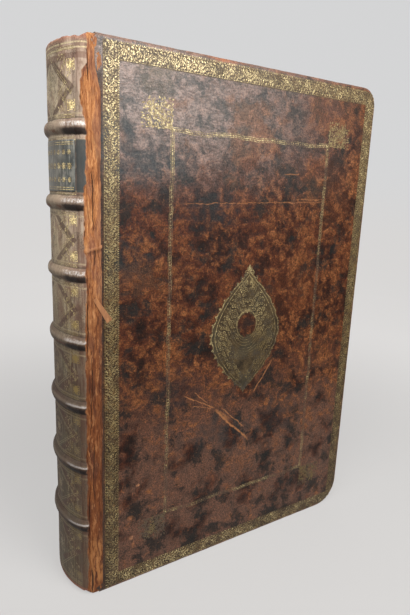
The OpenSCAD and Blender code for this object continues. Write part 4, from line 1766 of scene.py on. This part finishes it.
def joint_finish(name, torn):
    """Raw or cracked leather, with the finish of the spine where that is still sound."""
    raw = Finish(name)
    x, y, z = raw.axes()
    depth = raw.mark("depth")
    shaken = raw.shake(raw.spot, 0.12, 3.0)
    fibre = raw.noise(1.1, 5, 0.7, raw.stretch(1, 1, 0.13, shaken))
    strand = raw.noise(0.45, 4, 0.6, raw.stretch(1, 1, 0.09, shaken))
    patchy = raw.noise(0.05, 4, 0.6)
    if torn:
        tone = raw.ramp(
            fibre * 0.55 + strand * 0.45,
            (0.34, (0.062, 0.019, 0.008)),
            (0.44, (0.175, 0.057, 0.018)),
            (0.54, (0.310, 0.128, 0.045)),
            (0.66, (0.500, 0.270, 0.120)),
        )
        plum = raw.noise(0.16, 4, 0.6, raw.stretch(1, 1, 0.3)).ease(0.50, 0.62)
        tone = raw.mix(plum * 0.55, tone, (0.125, 0.052, 0.036))
        right_side = (x - joint_x + strand * 4).ease(6.2, 8.6)
        tone = raw.mix(right_side * 0.5, tone, (0.115, 0.055, 0.038))
        # Painted shade: the torn leather darkens towards the tail.
        tone = raw.mix(z.ease(310, 180), tone, (0.40, 0.32, 0.28), "MULTIPLY")
        flake = raw.noise(0.40, 4, 0.7, raw.stretch(1, 1, 0.22, shaken)).ease(0.54, 0.62)
        tone = raw.mix(flake * 0.30, tone, (0.420, 0.200, 0.085))
        # Painted shade: dark gaps between the strands, lower down the joint.
        strand_gap_shade = strand.ease(0.46, 0.38) * z.ease(330, 220)
        tone = raw.mix(strand_gap_shade * 0.45, tone, (0.032, 0.012, 0.008))
        # Painted shade: the deeper the torn leather lies, the darker it is.
        tone = raw.mix(depth.ease(0.44, 0.85) * 0.6, tone, (0.072, 0.026, 0.012))
        yellow = z.ease(60, 44) * z.ease(8, 16) * (x - joint_x).ease(-5, -2)
        tone = raw.mix(yellow * strand.ease(0.40, 0.56) * 0.5, tone, (0.30, 0.135, 0.046))
        # Painted shade in the deepest splits, and a painted highlight on the highest fibres.
        tone = raw.mix(depth.ease(0.74, 1.06) * 0.9, tone, (0.024, 0.011, 0.007))
        tone = raw.mix(depth.ease(0.30, 0.12) * 0.4, tone, (0.36, 0.175, 0.080))
    else:
        tone = raw.ramp(
            fibre * 0.4 + strand * 0.3 + patchy * 0.3,
            (0.36, (0.045, 0.024, 0.018)),
            (0.52, (0.13, 0.055, 0.034)),
            (0.68, (0.28, 0.115, 0.060)),
        )
        tone = raw.mix(depth.ease(0.42, 0.55) * 0.7, tone, (0.34, 0.14, 0.065))
    sound = raw.mark("sound")
    whole_tone, whole_rough = spine_tone(raw)[:2]
    titled = (z - label_low).low(label_high - z).ease(-0.5, 0.5)
    darkened = titled * (patchy.ease(0.35, 0.6) * 0.3 + 0.6)
    whole_tone = raw.mix(darkened, whole_tone, (0.040, 0.047, 0.047))
    raw.coat(
        base_color=raw.mix(sound, tone, whole_tone),
        roughness=sound * (whole_rough - 0.7) + 0.7,
        normal=raw.bump(fibre * 0.6 + strand * 0.4, 0.3),
        specular_ior_level=0.13,
    )
    return raw.material


raw_leather = joint_finish("torn_raw_leather", True)
front_strip = joint_strip("front_torn_joint", -1, torn_joint, 1.0, raw_leather)
cracked_leather = joint_finish("cracked_joint_leather", False)
back_strip = joint_strip("back_cracked_joint", 1, cracked_joint, 0.0, cracked_leather)
for strip_piece, side in ((front_strip, "front"), (back_strip, "back")):
    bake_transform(strip_piece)
    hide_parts(f"{side}_joint_leather")

# Peeled sliver: a curled shaving of the grain side, pulled loose at the torn edge and lying
# over the cover, a little above half its height.
sliver_top = 252
sliver = Tooling()
sliver.line([(1.8, sliver_top), (4.2, 248), (7.0, 243.6), (10.0, 239), (13.2, 234)], 3.0, 4.8)


def on_sliver(u, z, lift):
    """Places on the sliver, which rises and falls over the leather."""
    raised = 0.06 + 0.12 * math.sin((sliver_top - z) / 5.8)
    return (joint_x + u, -(book_t / 2 - face_dip(u, z) + raised + lift), z)


sliver_piece = sliver.pressed("peeled_sliver", on_sliver, raw_leather, 0.12, 0.1)
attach(sliver_piece, "front_cover")

# Endpapers: marbled sheets, colours dropped on a bath and drawn with a comb. One half of
# each sheet is pasted to the board over the turn-ins, the other is the free flyleaf.
marbled = Finish("marbled_paper")
drawn = marbled.shake(marbled.stretch(1, 0, 0.55), 0.025, 34, marbled.spot)
drops = marbled.cells(0.085, "F1", drawn)
veins = marbled.cells(0.085, "DISTANCE_TO_EDGE", drawn)
colours = marbled.cells(0.085, "F1", drawn, 1)
pick = marbled.add("SeparateXYZ", feeds={0: colours})
tone = marbled.ramp(
    pick,
    (0.0, (0.28, 0.055, 0.040)),
    (0.3, (0.34, 0.075, 0.050)),
    (0.45, (0.055, 0.095, 0.135)),
    (0.65, (0.46, 0.30, 0.12)),
    (0.85, (0.50, 0.43, 0.30)),
)
ripple = (drops * 26).sine() * 0.5 + 0.5
tone = marbled.mix(ripple * 0.22, tone, (0.52, 0.42, 0.28))
tone = marbled.mix(veins.ease(0.0, 0.10, 1, 0) * 0.8, tone, (0.50, 0.41, 0.28))
sheet_x, sheet_z = marbled.axes()[::2]
from_edge = (sheet_x * -1 + (joint_x + board_w)).low(sheet_z).low(sheet_z * -1 + board_h)
stain = (from_edge + marbled.noise(0.08, 3) * 12).ease(26, 14)
tone = marbled.mix(stain * 0.55, tone, (0.13, 0.075, 0.045))
laid = marbled.noise(1.4, 3, 0.6)
tone = marbled.mix(laid.ease(0.45, 0.7) * 0.25, tone, (0.42, 0.34, 0.24))
marbled.coat(
    base_color=tone,
    roughness=laid * 0.2 + 0.55,
    normal=marbled.bump(laid, 0.06),
)
for side in ("front", "back"):
    dress(f"{side}_pastedown", marbled)
    dress(f"{side}_flyleaf", marbled)

# Inner hinge: the fold of the endpaper between board and leaves. Shut, it lies doubled in
# the joint; open, it lines the shoulder of the leaves and the edge of the board.
fold_low, fold_high = 6.6, 423.4
fold = [
    (0.06, 28.32),
    (0.06, 31.0),
    (0.06, 33.6),
    (0.13, 34.0),
    (0.25, 34.12),
    (0.37, 34.0),
    (0.44, 33.6),
    (0.44, 31.0),
    (0.44, 28.72),
]
for side, sign in covers:
    fold_sections = []
    for row in range(61):
        z = fold_low + (fold_high - fold_low) * row / 60
        outer_line = [(joint_x + x, sign * y, z) for x, y in fold]
        inner_line = []
        for index, (x, y) in enumerate(fold):
            shift = 0.05 if index < 4 else (-0.05 if index > 4 else 0.0)
            drop = 0.07 if 2 < index < 6 else 0.0
            inner_line.append((joint_x + x + shift, sign * (y - drop), z))
        fold_sections.append(outer_line + inner_line[::-1])
    hinge = closed_sweep(f"{side}_endpaper_fold", fold_sections, marbled.material)
    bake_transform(hinge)

# Studio: a pale paper sweep under and behind the book that glows by itself, brighter away
# from the book, darker to the left and dim in front of it, a broad soft light from the front
# right, a low panel above the head that lays a sheen on the upper cover, and a small one
# beside the spine.
paper = Finish("studio_paper")
paper_x, paper_y, paper_z = paper.axes()
before_book = (paper_x * -0.5 - paper_y * 0.866).ease(105, 300)
beside_book = (paper_x * 0.59 - paper_y * 0.808).ease(190, 420)
from_book = ((paper_x**2 + paper_y**2) ** 0.5).ease(250, 900)
shaded = before_book.high(beside_book)
glow = 0.462 + from_book * 0.150 - paper_x.ease(-150, -900) * 0.055 - shaded * 0.54
paper.coat(
    base_color=paper.mix(paper.noise(0.002, 2), (0.120, 0.118, 0.116), (0.130, 0.128, 0.126)),
    roughness=0.9,
    emission_color=paper.mix(
        glow,
        (0.0, 0.0, 0.0),
        paper.mix(paper_z.ease(60, 500), (1.0, 0.980, 0.965), (0.985, 0.990, 1.0)),
    ),
    emission_strength=1.0,
)
ring_steps = 72
floor_r = 1.4
curve_r = 1.6
wall_h = 4.5
sweep_profile = []
for index in range(13):
    swing = math.pi / 2 * index / 12
    sweep_profile.append((floor_r + curve_r * math.sin(swing), curve_r * (1 - math.cos(swing))))
sweep_profile.append((floor_r + curve_r, wall_h))
points = []
for reach, height in sweep_profile:
    for index in range(ring_steps):
        swing = 2 * math.pi * index / ring_steps
        points.append((reach * math.cos(swing), reach * math.sin(swing), height))
faces = [tuple(range(ring_steps))]
for level in range(len(sweep_profile) - 1):
    for index in range(ring_steps):
        after = (index + 1) % ring_steps
        low = level * ring_steps
        faces.append((low + index, low + ring_steps + index, low + ring_steps + after, low + after))
backdrop_mesh = bpy.data.meshes.new("backdrop")
backdrop_mesh.from_pydata(points, [], faces)
for face in backdrop_mesh.polygons:
    face.use_smooth = len(face.vertices) == 4
backdrop = new_piece("backdrop", backdrop_mesh, paper.material)


def soft_light(name, place, aim, width, height, watts, colour):
    """A soft panel of light at a place in metres, turned to what it lights."""
    light = bpy.data.lights.new(name, "AREA")
    light.shape = "RECTANGLE"
    light.size = width
    light.size_y = height
    light.energy = watts
    light.color = colour
    lamp = bpy.data.objects.new(name, light)
    lamp.location = place
    lamp.rotation_mode = "QUATERNION"
    lamp.rotation_quaternion = (Vector(aim) - Vector(place)).to_track_quat("-Z", "Y")
    bpy.context.scene.collection.objects.link(lamp)


soft_light("window", (0.32, -1.2, 0.78), (-0.05, 0.0, 0.3), 0.9, 0.5, 24, (1.0, 0.985, 0.97))
soft_light("head_panel", (-0.30, -0.36, 0.92), (-0.1, 0.0, 0.32), 1.1, 0.4, 9, (1.0, 0.99, 0.98))
soft_light("side_panel", (-0.95, -0.75, 0.85), (-0.13, 0.0, 0.34), 0.5, 0.4, 5, (1.0, 0.99, 0.98))
room = bpy.data.worlds.new("room")
room.use_nodes = True
room.node_tree.nodes["Background"].inputs[0].default_value = (0.97, 0.98, 1.0, 1)
room.node_tree.nodes["Background"].inputs[1].default_value = 0.08
bpy.context.scene.world = room
bpy.context.scene.view_settings.view_transform = "Standard"
